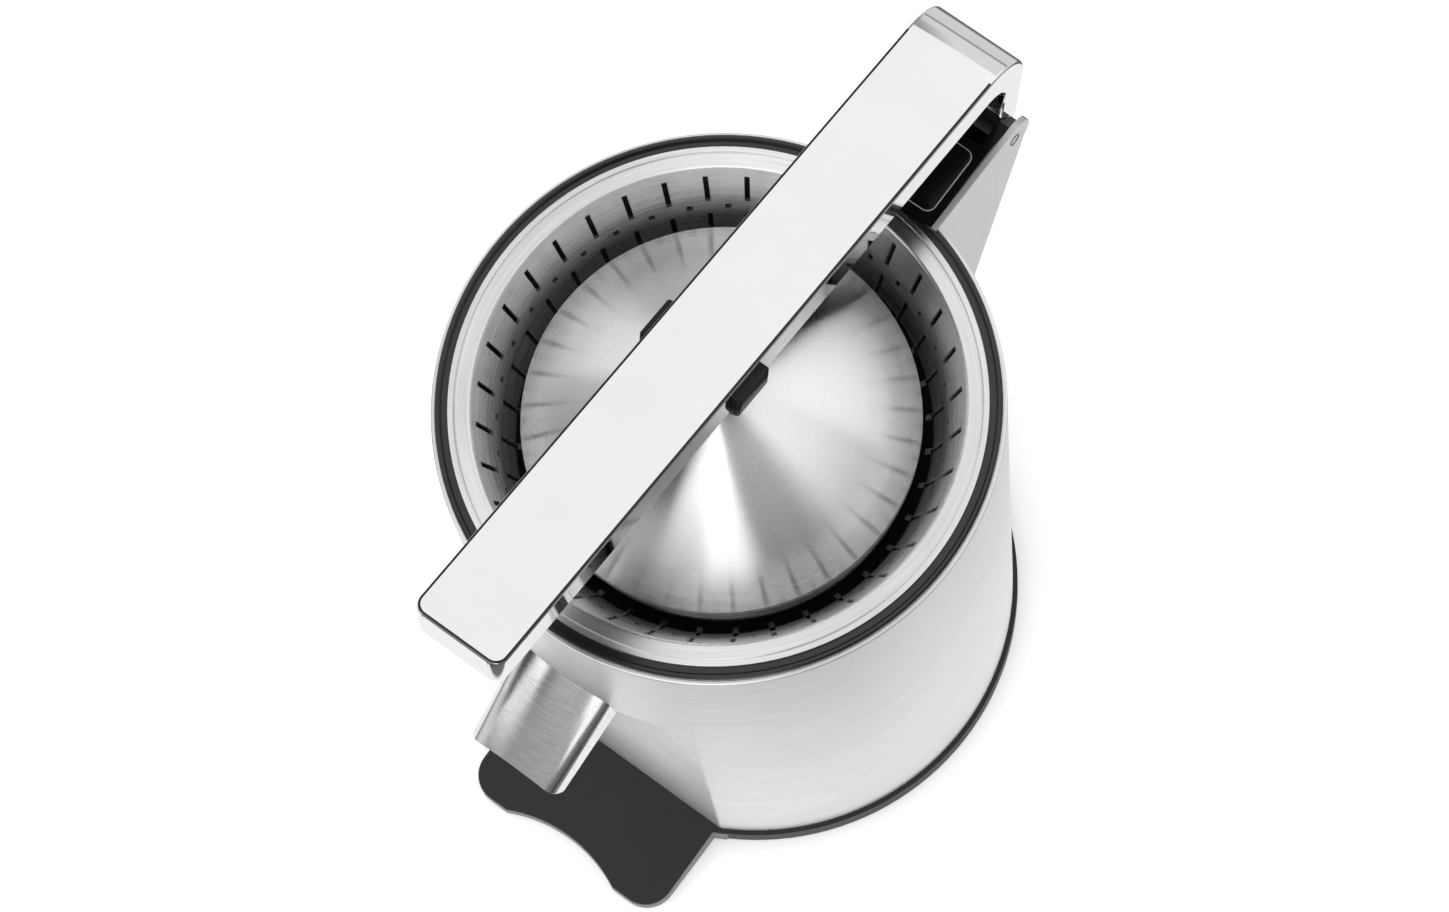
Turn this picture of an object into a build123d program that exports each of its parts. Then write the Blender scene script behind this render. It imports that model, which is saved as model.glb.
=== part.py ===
from build123d import *
from math import atan, cos, pi, radians, sin, sqrt, tan
import os

# Electric lever citrus press, in millimetres. The body's axis is Z, the front is -Y.
# The origin is on the body's axis, in the plane that the pad stands on.

# Fits shared by all pieces
overrun = 2.0
seat_gap = 0.05
run_gap = 0.3
bore_gap = 0.05

# Casing: the size that the round pieces follow
casing_radius = 81.0
casing_wall = 1.2
casing_rim_edge = 0.5
casing_top = 203.0
flat_depth = 9.6
flat_corner = 10.0
flat_edge = 3.0
overhang_drop = 61.0

# Base with the tongue in front, on a rubber pad
base_lip = 1.5
base_height = 9.0
base_floor = 3.0
upstand_height = 5.0
upstand_wall = 2.0
tongue_length = 34.6
tongue_inset = 1.45
tongue_corner = 9.0
tongue_drop = 4.0
tongue_notch_half_width = 21.2
tongue_notch_depth = 5.0
pad_height = 1.5
pad_recess = 1.5
pad_inset = 23.0

# Black collar round the top opening
collar_rise = 2.0
collar_edge = 0.5
collar_rim_width = 1.75
collar_ledge_rise = 0.9
collar_ledge_width = 4.1
collar_ledge_thickness = 4.9
collar_skirt_wall = 2.4
collar_depth = 15.0

# Strainer
flange_gap = 2.0
flange_width = 6.3
strainer_wall = 0.8
flange_edge = 0.8
flange_groove_share = 0.72
flange_groove_width = 0.5
flange_groove_depth = 0.25
strainer_slope_degrees = 19.5
strainer_depth = 31.0
strainer_floor_corner = 4.0
strainer_collar_radius = 15.8
strainer_collar_height = 6.0
slot_count = 36
slot_width = 1.6
slot_length = 10.5
upper_slot_depth = 6.8
lower_slot_depth = 22.5
pin_hole_depth = 14.4
pin_hole_radius = 0.9

# Juice bowl, and the outlet to the spout
bowl_wall = 1.5
bowl_depth = 54.0
bowl_floor_rise = 2.5
bowl_flange_width = 3.2
bowl_flange_height = 1.6
chimney_radius = 11.0
chimney_wall = 2.0
chimney_gap = 0.4

# Spout
spout_half_width = 17.0
spout_tip_half_width = 15.0
spout_drop = 50.0
spout_root_height = 13.0
spout_fall = 19.0
spout_tip_height = 6.5
spout_length = 27.5
spout_wall = 1.0
spout_root_shoulder = 8.5
spout_tip_shoulder = 6.0
channel_wall = 1.4
channel_gap = 0.4
channel_inset = 2.6
channel_setback = 2.5

# Hinge tower
hinge_offset = 33.0
hinge_drop = 7.0
cheek_outer_half_width = 20.0
cheek_wall = 1.8
cheek_round = 7.0
tower_length = 110.0
tower_back_drop = 14.0
insert_depth = 24.0
insert_setback = 10.0
insert_ear_round = 7.0

# Lever, drawn in its own plane: u runs along the arm to the back, v stands up from it
arm_slope_degrees = 10.37
arm_half_width = 14.6
arm_thickness = 12.4
arm_pivot_rise = 10.0
arm_grip_reach = 36.5
arm_back_u = 8.2
arm_back_corner = 18.5
arm_inner_corner = 10.0
leg_thickness = 8.6
knuckle_radius = 7.8
arm_edge = 0.8
arm_plan_corner = 4.0
arm_wall = 2.0
liner_thickness = 2.0
hinge_pin_radius = 3.0
hinge_bush_wall = 2.0
hinge_bush_length = 10.0

# Press dome on its pivot
dome_ring_gap = 12.7
dome_lip_depth = 16.0
dome_lip_height = 3.0
dome_rise = 37.5
dome_crown_radius = 10.5
dome_bulge = 4.5
dome_wall = 1.2
hub_rise = 8.0
dome_pivot_radius = 2.0
hub_half_width = 8.0
hub_round = 5.0
hub_stem_radius = 6.0
hub_flange_radius = 9.5
hub_flange_height = 2.0
nut_radius = 9.6
nut_height = 3.5
carrier_half_length = 8.5
carrier_forward = 3.7
carrier_plate = 3.5
carrier_fork_wall = 4.0
carrier_ear_wall = 4.0
carrier_ear_height = 7.6
carrier_ear_corner = 1.2

# Reamer
reamer_margin = 24.0
reamer_floor_gap = 3.2
reamer_crown_gap = 16.5
reamer_skirt = 2.0
reamer_flute_width = 13.0
reamer_wall = 2.2
rib_count = 10
rib_width = 2.4
rib_bulge = 3.0

# Drive shaft and its bearings
shaft_radius = 5.0
shaft_drop = 18.0
shaft_hex_rise = 1.6
shaft_hex_flat_radius = 4.0
shaft_cap = 15.0
bush_wall = 2.5
upper_bush_length = 8.0
lower_bush_length = 7.0
seal_height = 4.0
seal_drop = 3.0

# Gears: a motor pinion drives the idler wheel, whose own pinion drives the output gear
fine_modules_in_radius = 81.0
coarse_modules_in_radius = 64.8
motor_pinion_teeth = 10
idler_wheel_teeth = 40
idler_pinion_teeth = 12
output_gear_teeth = 44
tooth_share = 0.40
tooth_root_share = 1.20
tooth_tip_share = 0.62
addendum_share = 0.85
dedendum_share = 1.20
idler_degrees = 90.0
motor_degrees = 30.0
gear_plate_drop = 93.0
gear_plate_thickness = 3.0
gear_plate_gap = 5.8
gear_plate_flat_gap = 6.2
wheel_height = 7.0
pinion_height = 15.0
output_gear_height = 9.0
gear_hub_radius = 8.5
gear_float = 0.6
cover_height = 28.0
cover_wall = 2.0
cover_margin = 2.5
cover_lug_radius = 5.0
cover_lug_out = 3.6
cover_lug_degrees = (200.0, 340.0)
idler_lug_degrees = 150.0
cover_boss_radius = 9.5
cover_boss_height = 7.0
axle_radius = 2.5
post_radius = 4.0
post_inset = 15.0
post_degrees = (10.0, 170.0, 240.0, 300.0)

# Motor
motor_radius_share = 0.2716
motor_length = 62.0
motor_edge = 3.0
motor_shaft_radius = 1.6
motor_nose_radius = 7.0
motor_nose_height = 2.0
motor_screw_share = 0.66
motor_screw_degrees = (-50.0, 110.0)

# Thrust plate, its spring and the switch under it
press_stroke = 2.0
thrust_radius = 10.0
thrust_thickness = 4.0
thrust_spigot_radius = 3.0
spring_height = 11.0
spring_mean_radius = 6.6
spring_wire_radius = 0.7
spring_turns = 4
seat_thickness = 4.0
seat_radius = 12.0
seat_leg_width = 7.0
seat_leg_thickness = 4.0
spigot_reach = 3.0
switch_length = 20.0
switch_width = 10.0
switch_height = 16.0
button_radius = 1.6
button_height = 5.0
button_reach = 2.6

# Mains inlet and fasteners
gland_rise = 17.0
gland_radius = 6.0
gland_bore_radius = 3.2
gland_flange_radius = 8.5
gland_flange_thickness = 2.0
gland_length = 12.0
screw_radius = 1.5
screw_head_radius = 2.8
screw_head_height = 1.8
screw_length = 6.0

# Radii and distances that follow the casing
casing_inner_radius = casing_radius - casing_wall
flat_offset = casing_radius - flat_depth
casing_inner_flat = flat_offset - casing_wall
base_radius = casing_radius + base_lip
tongue_half_width = sqrt(casing_radius**2 - flat_offset**2) - tongue_inset
tongue_reach = flat_offset + tongue_length
pad_radius = casing_radius - pad_inset
post_ring_radius = casing_radius - post_inset
collar_outer_radius = casing_inner_radius - seat_gap
collar_step_radius = collar_outer_radius - collar_rim_width
collar_inner_radius = collar_step_radius - collar_ledge_width
flange_radius = collar_step_radius - flange_gap
flange_inner_radius = flange_radius - flange_width
dome_radius = flange_inner_radius - dome_ring_gap
reamer_radius = dome_radius - reamer_margin
reamer_core_radius = reamer_radius - reamer_flute_width
bowl_outer_radius = collar_inner_radius - run_gap
spout_reach = casing_radius + spout_length
hinge_y = casing_radius + hinge_offset
insert_rear_y = hinge_y - insert_setback
arm_front_u = hinge_y + casing_radius + arm_grip_reach
gear_plate_radius = casing_inner_radius - gear_plate_gap
gear_plate_flat = casing_inner_flat - gear_plate_flat_gap
motor_radius = casing_radius * motor_radius_share
motor_screw_ring_radius = motor_radius * motor_screw_share
cheek_half_gap = cheek_outer_half_width - cheek_wall

# Heights that follow the casing's top, from the lever down to the switch
overhang_height = casing_top - overhang_drop
collar_top = casing_top + collar_rise
collar_ledge_height = casing_top + collar_ledge_rise
collar_ledge_bottom = collar_ledge_height - collar_ledge_thickness
collar_bottom = casing_top - collar_depth
strainer_flange_bottom = collar_ledge_height + run_gap
strainer_top = strainer_flange_bottom + strainer_wall
strainer_floor_height = casing_top - strainer_depth
upper_slot_height = casing_top - upper_slot_depth
lower_slot_height = casing_top - lower_slot_depth
pin_hole_height = casing_top - pin_hole_depth
dome_lip_bottom = casing_top - dome_lip_depth
dome_lip_top = dome_lip_bottom + dome_lip_height
dome_crown_height = dome_lip_top + dome_rise
dome_pivot_z = dome_crown_height + hub_rise
reamer_bottom = strainer_floor_height + strainer_wall + reamer_floor_gap
reamer_top = dome_crown_height - reamer_crown_gap
chimney_top = reamer_bottom - chimney_gap
shaft_hex_bottom = reamer_bottom + shaft_hex_rise
shaft_top = reamer_top - shaft_cap
bowl_floor_height = casing_top - bowl_depth
spout_root_top = casing_top - spout_drop
spout_tip_top = spout_root_top - spout_fall
spout_slope = spout_fall / spout_length
hinge_z = casing_top - hinge_drop
insert_top = collar_top
tower_foot_height = hinge_z - tower_length
tower_back_top = hinge_z - tower_back_drop
gear_plate_bottom = casing_top - gear_plate_drop
gear_floor = gear_plate_bottom + gear_plate_thickness
shaft_bottom = gear_plate_bottom - shaft_drop
thrust_top = shaft_bottom - run_gap
thrust_bottom = thrust_top - thrust_thickness
seat_top = thrust_bottom - spring_height
seat_bottom = seat_top - seat_thickness
spigot_bottom = seat_bottom - spigot_reach
button_top = spigot_bottom - run_gap
switch_top = button_top - button_reach
gland_z = base_height + gland_rise

# Gear centres and levels
fine_module = casing_radius / fine_modules_in_radius
coarse_module = casing_radius / coarse_modules_in_radius
fine_centres = fine_module * (motor_pinion_teeth + idler_wheel_teeth) / 2
coarse_centres = coarse_module * (idler_pinion_teeth + output_gear_teeth) / 2
idler_x = coarse_centres * cos(radians(idler_degrees))
idler_y = coarse_centres * sin(radians(idler_degrees))
motor_x = idler_x + fine_centres * cos(radians(motor_degrees))
motor_y = idler_y + fine_centres * sin(radians(motor_degrees))
wheel_bottom = gear_floor + gear_float
pinion_bottom = wheel_bottom + wheel_height
output_gear_bottom = pinion_bottom + press_stroke + gear_float

# The lever's own plane, with its origin on the hinge
slope_sin = sin(radians(arm_slope_degrees))
slope_cos = cos(radians(arm_slope_degrees))
lever_plane = Plane(origin=(0, hinge_y, hinge_z), x_dir=(0, slope_cos, -slope_sin), z_dir=(1, 0, 0))
leg_front_u = arm_back_u - leg_thickness
pivot_u = -hinge_y * slope_cos - (dome_pivot_z - hinge_z) * slope_sin
pivot_v = -hinge_y * slope_sin + (dome_pivot_z - hinge_z) * slope_cos
arm_under_v = pivot_v + arm_pivot_rise
arm_top_v = arm_under_v + arm_thickness


def flattened_disc(radius, flat):
    """Disc in the sketch in hand, its front cut off straight at a distance from the centre."""
    Circle(radius)
    with Locations((0, -flat - radius / 2)):
        Rectangle(2 * radius, radius, mode=Mode.SUBTRACT)


def post_circles(radius):
    """Circles in the sketch in hand, one at each post."""
    for angle in post_degrees:
        with PolarLocations(post_ring_radius, 1, start_angle=angle):
            Circle(radius)


def turned(points, mode=Mode.ADD):
    """Solid of revolution about Z from a closed outline of radius and height pairs."""
    with BuildSketch(Plane.XZ) as outline:
        with BuildLine():
            Polyline(*points, close=True)
        make_face()
    revolve(outline.sketch, axis=Axis.Z, mode=mode)


def cylinder_up(radius, bottom, top, centre=(0, 0), mode=Mode.ADD):
    """Upright cylinder between two heights."""
    with BuildSketch(Plane.XY.offset(bottom)) as outline:
        with Locations(centre):
            Circle(radius)
    extrude(outline.sketch, amount=top - bottom, mode=mode)


def sleeve(outer, inner, bottom, top, centre=(0, 0)):
    """Upright tube between two heights."""
    with BuildSketch(Plane.XY.offset(bottom)) as outline:
        with Locations(centre):
            Circle(outer)
            Circle(inner, mode=Mode.SUBTRACT)
    extrude(outline.sketch, amount=top - bottom)


def crosswise_cylinder(radius, half_length, plane, centre, mode=Mode.ADD):
    """Cylinder along X, centred on a point of a side plane."""
    with BuildSketch(plane) as outline:
        with Locations(centre):
            Circle(radius)
    extrude(outline.sketch, amount=half_length, both=True, mode=mode)


def gear_outline(teeth, module, turn):
    """Toothed outline in the sketch in hand, with one tooth at the angle turn."""
    pitch_radius = module * teeth / 2
    root_radius = pitch_radius - dedendum_share * module
    tip_radius = pitch_radius + addendum_share * module
    tooth = tooth_share * pi * module
    foot_half = tooth * tooth_root_share / 2
    tip_half = tooth * tooth_tip_share / 2
    tooth_base_radius = root_radius - foot_half
    Circle(root_radius)
    with PolarLocations(0, teeth, start_angle=turn):
        Polygon(
            (tooth_base_radius, -foot_half),
            (tip_radius, -tip_half),
            (tip_radius, tip_half),
            (tooth_base_radius, foot_half),
            align=None,
        )


def finish(piece, name):
    """Label a finished piece and write its file."""
    piece.part.label = name
    export_step(piece.part, "parts/" + name + ".step")


os.makedirs("parts", exist_ok=True)

# Base tray: ring, floor, upstand inside the casing and the tongue in front
notch_radius = (tongue_notch_half_width**2 + tongue_notch_depth**2) / (2 * tongue_notch_depth)
notch_centre_y = -tongue_reach + tongue_notch_depth - notch_radius
tray_bottom = pad_height
tray_floor_top = tray_bottom + base_floor
tray_inner_radius = casing_inner_radius - upstand_wall - run_gap
tray_inner_flat = casing_inner_flat - upstand_wall - run_gap
with BuildPart() as base_tray:
    with BuildSketch(Plane.XY.offset(tray_bottom)):
        Circle(base_radius)
    extrude(amount=base_height - tray_bottom)
    with BuildSketch(Plane.XY.offset(tray_bottom)):
        with Locations((0, -tongue_reach / 2)):
            tongue = Rectangle(2 * tongue_half_width, tongue_reach)
        fillet(tongue.vertices().group_by(Axis.Y)[0], tongue_corner)
        with Locations((0, notch_centre_y)):
            Circle(notch_radius, mode=Mode.SUBTRACT)
    extrude(amount=base_height - tray_bottom)
    with BuildSketch(Plane.YZ):
        with BuildLine():
            Polyline(
                (-flat_offset, base_height),
                (-tongue_reach, base_height - tongue_drop),
                (-tongue_reach - overrun, base_height - tongue_drop),
                (-tongue_reach - overrun, base_height + overrun),
                (-flat_offset, base_height + overrun),
                close=True,
            )
        make_face()
    extrude(amount=base_radius, both=True, mode=Mode.SUBTRACT)
    with BuildSketch(Plane.XY.offset(base_height)):
        flattened_disc(casing_inner_radius - run_gap, casing_inner_flat - run_gap)
    extrude(amount=upstand_height)
    with BuildSketch(Plane.XY.offset(tray_floor_top)):
        flattened_disc(tray_inner_radius, tray_inner_flat)
    extrude(amount=base_height + upstand_height, mode=Mode.SUBTRACT)
    cylinder_up(pad_radius + seat_gap, tray_bottom, tray_bottom + pad_recess, mode=Mode.SUBTRACT)
    with BuildSketch(Plane.XY.offset(tray_bottom)):
        post_circles(screw_radius + seat_gap)
    extrude(amount=base_floor, mode=Mode.SUBTRACT)
    with BuildSketch(Plane.XY.offset(tray_bottom)):
        post_circles(screw_head_radius + seat_gap)
    extrude(amount=screw_head_height, mode=Mode.SUBTRACT)
finish(base_tray, "base_tray")

# Rubber pad that the press stands on, let into the base
with BuildPart() as base_pad:
    cylinder_up(pad_radius, 0, pad_height + pad_recess)
finish(base_pad, "base_pad")


def casing_core(inset, bottom, top):
    """Round body with a flat let into its lower front under a rounded overhang, drawn in by an inset."""
    with BuildPart() as core:
        with BuildSketch(Plane.XY.offset(bottom)):
            Circle(casing_radius - inset)
        extrude(amount=top - bottom)
        with BuildSketch(Plane.XZ.offset(flat_offset - inset)) as front:
            with Locations((0, (overhang_height + inset + bottom) / 2)):
                Rectangle(casing_radius, overhang_height + inset - bottom)
            fillet(front.vertices().group_by(Axis.Y)[-1], flat_corner)
        extrude(amount=casing_radius, mode=Mode.SUBTRACT)
        outside = core.faces().filter_by(GeomType.CYLINDER).sort_by(SortBy.AREA)[-1]
        rim = outside.edges().filter_by_position(Axis.Y, -casing_radius - overrun, -flat_offset + overrun)
        fillet(rim, flat_edge - inset)
    return core.part


# Casing: thin steel body, open at both ends, with the spout and inlet openings
casing_outside = casing_core(0, base_height, casing_top)
casing_inside = casing_core(casing_wall, base_height - overrun, casing_top + overrun)
with BuildPart() as casing:
    add(casing_outside)
    add(casing_inside, mode=Mode.SUBTRACT)
    with BuildSketch(Plane.XZ.offset(flat_offset - overrun)):
        with Locations((0, spout_root_top - spout_root_height / 2)):
            Rectangle(2 * (spout_half_width + channel_gap), spout_root_height + 2 * channel_gap)
    extrude(amount=base_radius - flat_offset + overrun, mode=Mode.SUBTRACT)
    with BuildSketch(Plane.XZ.offset(-casing_radius - overrun)):
        with Locations((0, gland_z)):
            Circle(gland_radius + seat_gap)
    extrude(amount=casing_wall + overrun + overrun, mode=Mode.SUBTRACT)
    fillet(casing.edges().group_by(Axis.Z)[-1].sort_by(SortBy.LENGTH)[-1], casing_rim_edge)
finish(casing, "casing")

# Screws from below through the base into the posts
with BuildPart() as base_screws:
    with BuildSketch(Plane.XY.offset(tray_bottom)):
        post_circles(screw_head_radius)
    extrude(amount=screw_head_height)
    with BuildSketch(Plane.XY.offset(tray_bottom)):
        post_circles(screw_radius)
    extrude(amount=base_floor + screw_length)
finish(base_screws, "base_screws")

# Black collar: a stepped ring that carries the strainer's flange
collar_notch_half_width = cheek_outer_half_width + seat_gap
with BuildPart() as rim_collar:
    turned(
        (
            (collar_outer_radius, collar_bottom),
            (collar_outer_radius, collar_top),
            (collar_step_radius, collar_top),
            (collar_step_radius, collar_ledge_height),
            (collar_inner_radius, collar_ledge_height),
            (collar_inner_radius, collar_ledge_bottom),
            (collar_outer_radius - collar_skirt_wall, collar_ledge_bottom),
            (collar_outer_radius - collar_skirt_wall, collar_bottom),
        )
    )
    chamfer(rim_collar.edges().group_by(Axis.Z)[-1], collar_edge)
    with BuildSketch(Plane.XY.offset(casing_top)):
        with Locations((0, casing_radius)):
            Rectangle(2 * collar_notch_half_width, 2 * (casing_radius - flange_radius - run_gap))
    extrude(amount=collar_top, mode=Mode.SUBTRACT)
finish(rim_collar, "rim_collar")

# Juice bowl under the strainer, with a chimney for the shaft and an outlet in front
bowl_inner_radius = bowl_outer_radius - bowl_wall
bowl_top = collar_ledge_height - run_gap
with BuildPart() as juice_bowl:
    turned(
        (
            (chimney_radius, bowl_floor_height - bowl_wall + bowl_floor_rise),
            (bowl_outer_radius, bowl_floor_height - bowl_wall),
            (bowl_outer_radius, collar_ledge_bottom - bowl_flange_height),
            (bowl_outer_radius + bowl_flange_width, collar_ledge_bottom - bowl_flange_height),
            (bowl_outer_radius + bowl_flange_width, collar_ledge_bottom),
            (bowl_outer_radius, collar_ledge_bottom),
            (bowl_outer_radius, bowl_top),
            (bowl_inner_radius, bowl_top),
            (bowl_inner_radius, bowl_floor_height),
            (chimney_radius + chimney_wall, bowl_floor_height + bowl_floor_rise),
            (chimney_radius + chimney_wall, chimney_top),
            (chimney_radius, chimney_top),
        )
    )
    with BuildSketch(Plane.XZ.offset(bowl_inner_radius - overrun - overrun)):
        with Locations((0, bowl_floor_height + spout_root_height / 2 - channel_wall)):
            Rectangle(2 * (spout_tip_half_width - spout_wall - channel_gap), spout_root_height / 2)
    extrude(amount=bowl_wall + 2 * overrun + overrun, mode=Mode.SUBTRACT)
finish(juice_bowl, "juice_bowl")


def spout_section(plane, half_width, height, shoulder):
    """Arched section of the spout in an upright plane, its top edge on the plane's X axis."""
    with BuildSketch(plane) as section:
        with Locations((0, -height / 2)):
            Rectangle(2 * half_width, height)
        fillet(section.vertices().group_by(Axis.Y)[-1], shoulder)
    return section.sketch


def upright_front_plane(distance, height):
    """Plane that faces the front at a distance from the axis, its origin at a height."""
    return Plane(origin=(0, -distance, height), x_dir=(1, 0, 0), z_dir=(0, -1, 0))


# Spout hood: an arched sheet that narrows and falls towards its open tip
hood_root = casing_radius * cos(atan(spout_half_width / casing_radius)) - casing_wall
hood_root_top = spout_root_top + spout_slope * (casing_radius - hood_root)
hood_tip_plane = upright_front_plane(spout_reach, spout_tip_top)
hood_root_plane = upright_front_plane(hood_root, hood_root_top)
inner_tip_plane = upright_front_plane(spout_reach, spout_tip_top - spout_wall)
inner_root_plane = upright_front_plane(hood_root, hood_root_top - spout_wall)
with BuildPart() as spout_hood:
    hood_outside = (
        spout_section(hood_root_plane, spout_half_width, spout_root_height, spout_root_shoulder),
        spout_section(hood_tip_plane, spout_tip_half_width, spout_tip_height, spout_tip_shoulder),
    )
    loft(hood_outside)
    inner_root_shoulder = spout_root_shoulder - spout_wall
    inner_tip_shoulder = spout_tip_shoulder - spout_wall
    hood_inside = (
        spout_section(inner_root_plane, spout_half_width - spout_wall, spout_root_height, inner_root_shoulder),
        spout_section(inner_tip_plane, spout_tip_half_width - spout_wall, spout_tip_height, inner_tip_shoulder),
    )
    loft(hood_inside, mode=Mode.SUBTRACT)
    cylinder_up(casing_radius + seat_gap, 0, casing_top, mode=Mode.SUBTRACT)
finish(spout_hood, "spout_hood")

# Spout channel: trough from the bowl's outlet to just behind the hood's lip
channel_back = bowl_outer_radius + seat_gap
channel_front = spout_reach - channel_setback
channel_back_floor = bowl_floor_height - channel_wall
channel_fall = channel_back_floor - spout_tip_top + spout_tip_height
channel_slope = channel_fall / (channel_front - channel_back)
overrun_fall = overrun * channel_slope
channel_half_width = spout_tip_half_width - spout_wall - channel_gap - channel_inset
channel_depth = spout_tip_height - channel_gap - channel_wall
with BuildPart() as spout_channel:
    with BuildSketch(Plane.YZ):
        with BuildLine():
            Polyline(
                (-channel_back, channel_back_floor),
                (-channel_front, channel_back_floor - channel_fall),
                (-channel_front, channel_back_floor + channel_depth - channel_fall),
                (-channel_back, channel_back_floor + channel_depth),
                close=True,
            )
        make_face()
    extrude(amount=channel_half_width, both=True)
    with BuildSketch(Plane.YZ):
        with BuildLine():
            Polyline(
                (-channel_back + overrun, channel_back_floor + channel_wall + overrun_fall),
                (-channel_front - overrun, channel_back_floor + channel_wall - channel_fall - overrun_fall),
                (-channel_front - overrun, channel_back_floor + channel_depth + overrun),
                (-channel_back + overrun, channel_back_floor + channel_depth + overrun),
                close=True,
            )
        make_face()
    extrude(amount=channel_half_width - channel_wall, both=True, mode=Mode.SUBTRACT)
finish(spout_channel, "spout_channel")

# Hinge tower: two steel cheeks joined by a sloping back
tower_front = flange_radius + run_gap


def tower_side(back_in):
    """Side view of the tower in the sketch in hand, its sloping back moved forward by a distance."""
    with BuildLine() as outline:
        Polyline(
            (tower_front, insert_top),
            (hinge_y, hinge_z + cheek_round),
            (hinge_y + cheek_round - back_in, hinge_z),
            (tower_front - back_in, tower_foot_height),
            close=True,
        )
    make_face(outline.edges())


with BuildPart() as tower_shell:
    with BuildSketch(Plane.YZ):
        tower_side(0)
        with Locations((hinge_y, hinge_z)):
            Circle(cheek_round)
    extrude(amount=cheek_outer_half_width, both=True)
    with BuildSketch(Plane.YZ):
        tower_side(cheek_wall)
        with Locations((hinge_y, hinge_z)):
            Rectangle(2 * (cheek_round + overrun), 2 * (hinge_z - tower_back_top))
        with Locations((hinge_y / 2 + casing_radius / 2, insert_top)):
            Rectangle(hinge_y - casing_radius + 2 * overrun, 2 * cheek_round)
        with Locations((tower_front, hinge_z)):
            Rectangle(2 * overrun, insert_top - overrun)
    extrude(amount=cheek_half_gap, both=True, mode=Mode.SUBTRACT)
    cylinder_up(casing_radius + seat_gap, 0, casing_top + seat_gap, mode=Mode.SUBTRACT)
    cylinder_up(tower_front, casing_top, insert_top + overrun, mode=Mode.SUBTRACT)
    crosswise_cylinder(
        hinge_pin_radius + seat_gap,
        base_radius,
        Plane.YZ,
        (hinge_y, hinge_z),
        mode=Mode.SUBTRACT,
    )
finish(tower_shell, "tower_shell")

# Tower insert: black top between the cheeks, and the two ears that flank the lever's leg
insert_half_width = cheek_half_gap - seat_gap
insert_bottom = insert_top - insert_depth
leg_slot_half_width = arm_half_width + run_gap
with BuildPart() as tower_insert:
    with BuildSketch(Plane.YZ):
        with BuildLine():
            Polyline(
                (tower_front, insert_top),
                (insert_rear_y, insert_top),
                (hinge_y, hinge_z + insert_ear_round),
                (hinge_y + insert_ear_round - cheek_wall, hinge_z),
                (hinge_y - insert_ear_round, insert_bottom),
                (tower_front, insert_bottom),
                close=True,
            )
        make_face()
    extrude(amount=insert_half_width, both=True)
    crosswise_cylinder(
        knuckle_radius + run_gap,
        leg_slot_half_width,
        Plane.YZ,
        (hinge_y, hinge_z),
        mode=Mode.SUBTRACT,
    )
    with BuildSketch(Plane.YZ):
        with Locations((insert_rear_y + base_radius / 2, hinge_z)):
            Rectangle(base_radius, base_radius)
    extrude(amount=leg_slot_half_width, both=True, mode=Mode.SUBTRACT)
    cylinder_up(casing_radius + seat_gap, 0, casing_top + seat_gap, mode=Mode.SUBTRACT)
    cylinder_up(tower_front, casing_top, insert_top + overrun, mode=Mode.SUBTRACT)
    crosswise_cylinder(
        hinge_pin_radius + seat_gap,
        base_radius,
        Plane.YZ,
        (hinge_y, hinge_z),
        mode=Mode.SUBTRACT,
    )
finish(tower_insert, "tower_insert")

# Hinge pin through both cheeks
with BuildPart() as hinge_pin:
    crosswise_cylinder(hinge_pin_radius, cheek_outer_half_width, Plane.YZ, (hinge_y, hinge_z))
    fillet(hinge_pin.edges().filter_by(GeomType.CIRCLE), seat_gap)
finish(hinge_pin, "hinge_pin")


def lever_outline(inset, front_inset):
    """Side view of the lever in its own plane: the arm, and the leg down to the hinge."""
    with BuildLine() as outline:
        Polyline(
            (-arm_front_u + front_inset, arm_top_v - inset),
            (arm_back_u - inset, arm_top_v - inset),
            (arm_back_u - inset, 0),
            (leg_front_u, 0),
            (leg_front_u, arm_under_v),
            (-arm_front_u + front_inset, arm_under_v),
            close=True,
        )
    make_face(outline.edges())


# Lever arm: chromed channel with a leg and a knuckle, hollow underneath
knuckle_bore = hinge_pin_radius + bore_gap + hinge_bush_wall
with BuildPart() as arm_shell:
    with BuildSketch(lever_plane) as arm_side:
        lever_outline(0, 0)
        outer_corner = arm_side.vertices().sort_by_distance((arm_back_u, arm_top_v, 0))[0]
        fillet(outer_corner, arm_back_corner)
        inner_corner = arm_side.vertices().sort_by_distance((leg_front_u, arm_under_v, 0))[0]
        fillet(inner_corner, arm_inner_corner)
    extrude(amount=arm_half_width, both=True)
    front_face = arm_shell.faces().sort_by(Axis.Y)[0]
    fillet(front_face.edges().filter_by(Axis.X, reverse=True), arm_plan_corner)
    top_face = arm_shell.faces().sort_by(Axis.Z)[-1]
    fillet(top_face.edges().sort_by(Axis.Y)[0:-1], arm_edge)
    crosswise_cylinder(knuckle_radius, arm_half_width, lever_plane, (0, 0))
    with BuildSketch(lever_plane) as pocket_side:
        lever_outline(arm_wall, arm_wall)
        pocket_corner = pocket_side.vertices().sort_by_distance((leg_front_u, arm_under_v, 0))[0]
        fillet(pocket_corner, arm_inner_corner)
        pocket_bend = pocket_side.vertices().sort_by_distance((arm_back_u, arm_top_v, 0))[0]
        fillet(pocket_bend, arm_back_corner - arm_wall)
        Rectangle(2 * (knuckle_radius + overrun), 2 * (knuckle_radius + overrun), mode=Mode.SUBTRACT)
    extrude(amount=arm_half_width - arm_wall, both=True, mode=Mode.SUBTRACT)
    crosswise_cylinder(knuckle_bore, base_radius, lever_plane, (0, 0), mode=Mode.SUBTRACT)
finish(arm_shell, "arm_shell")

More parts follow.
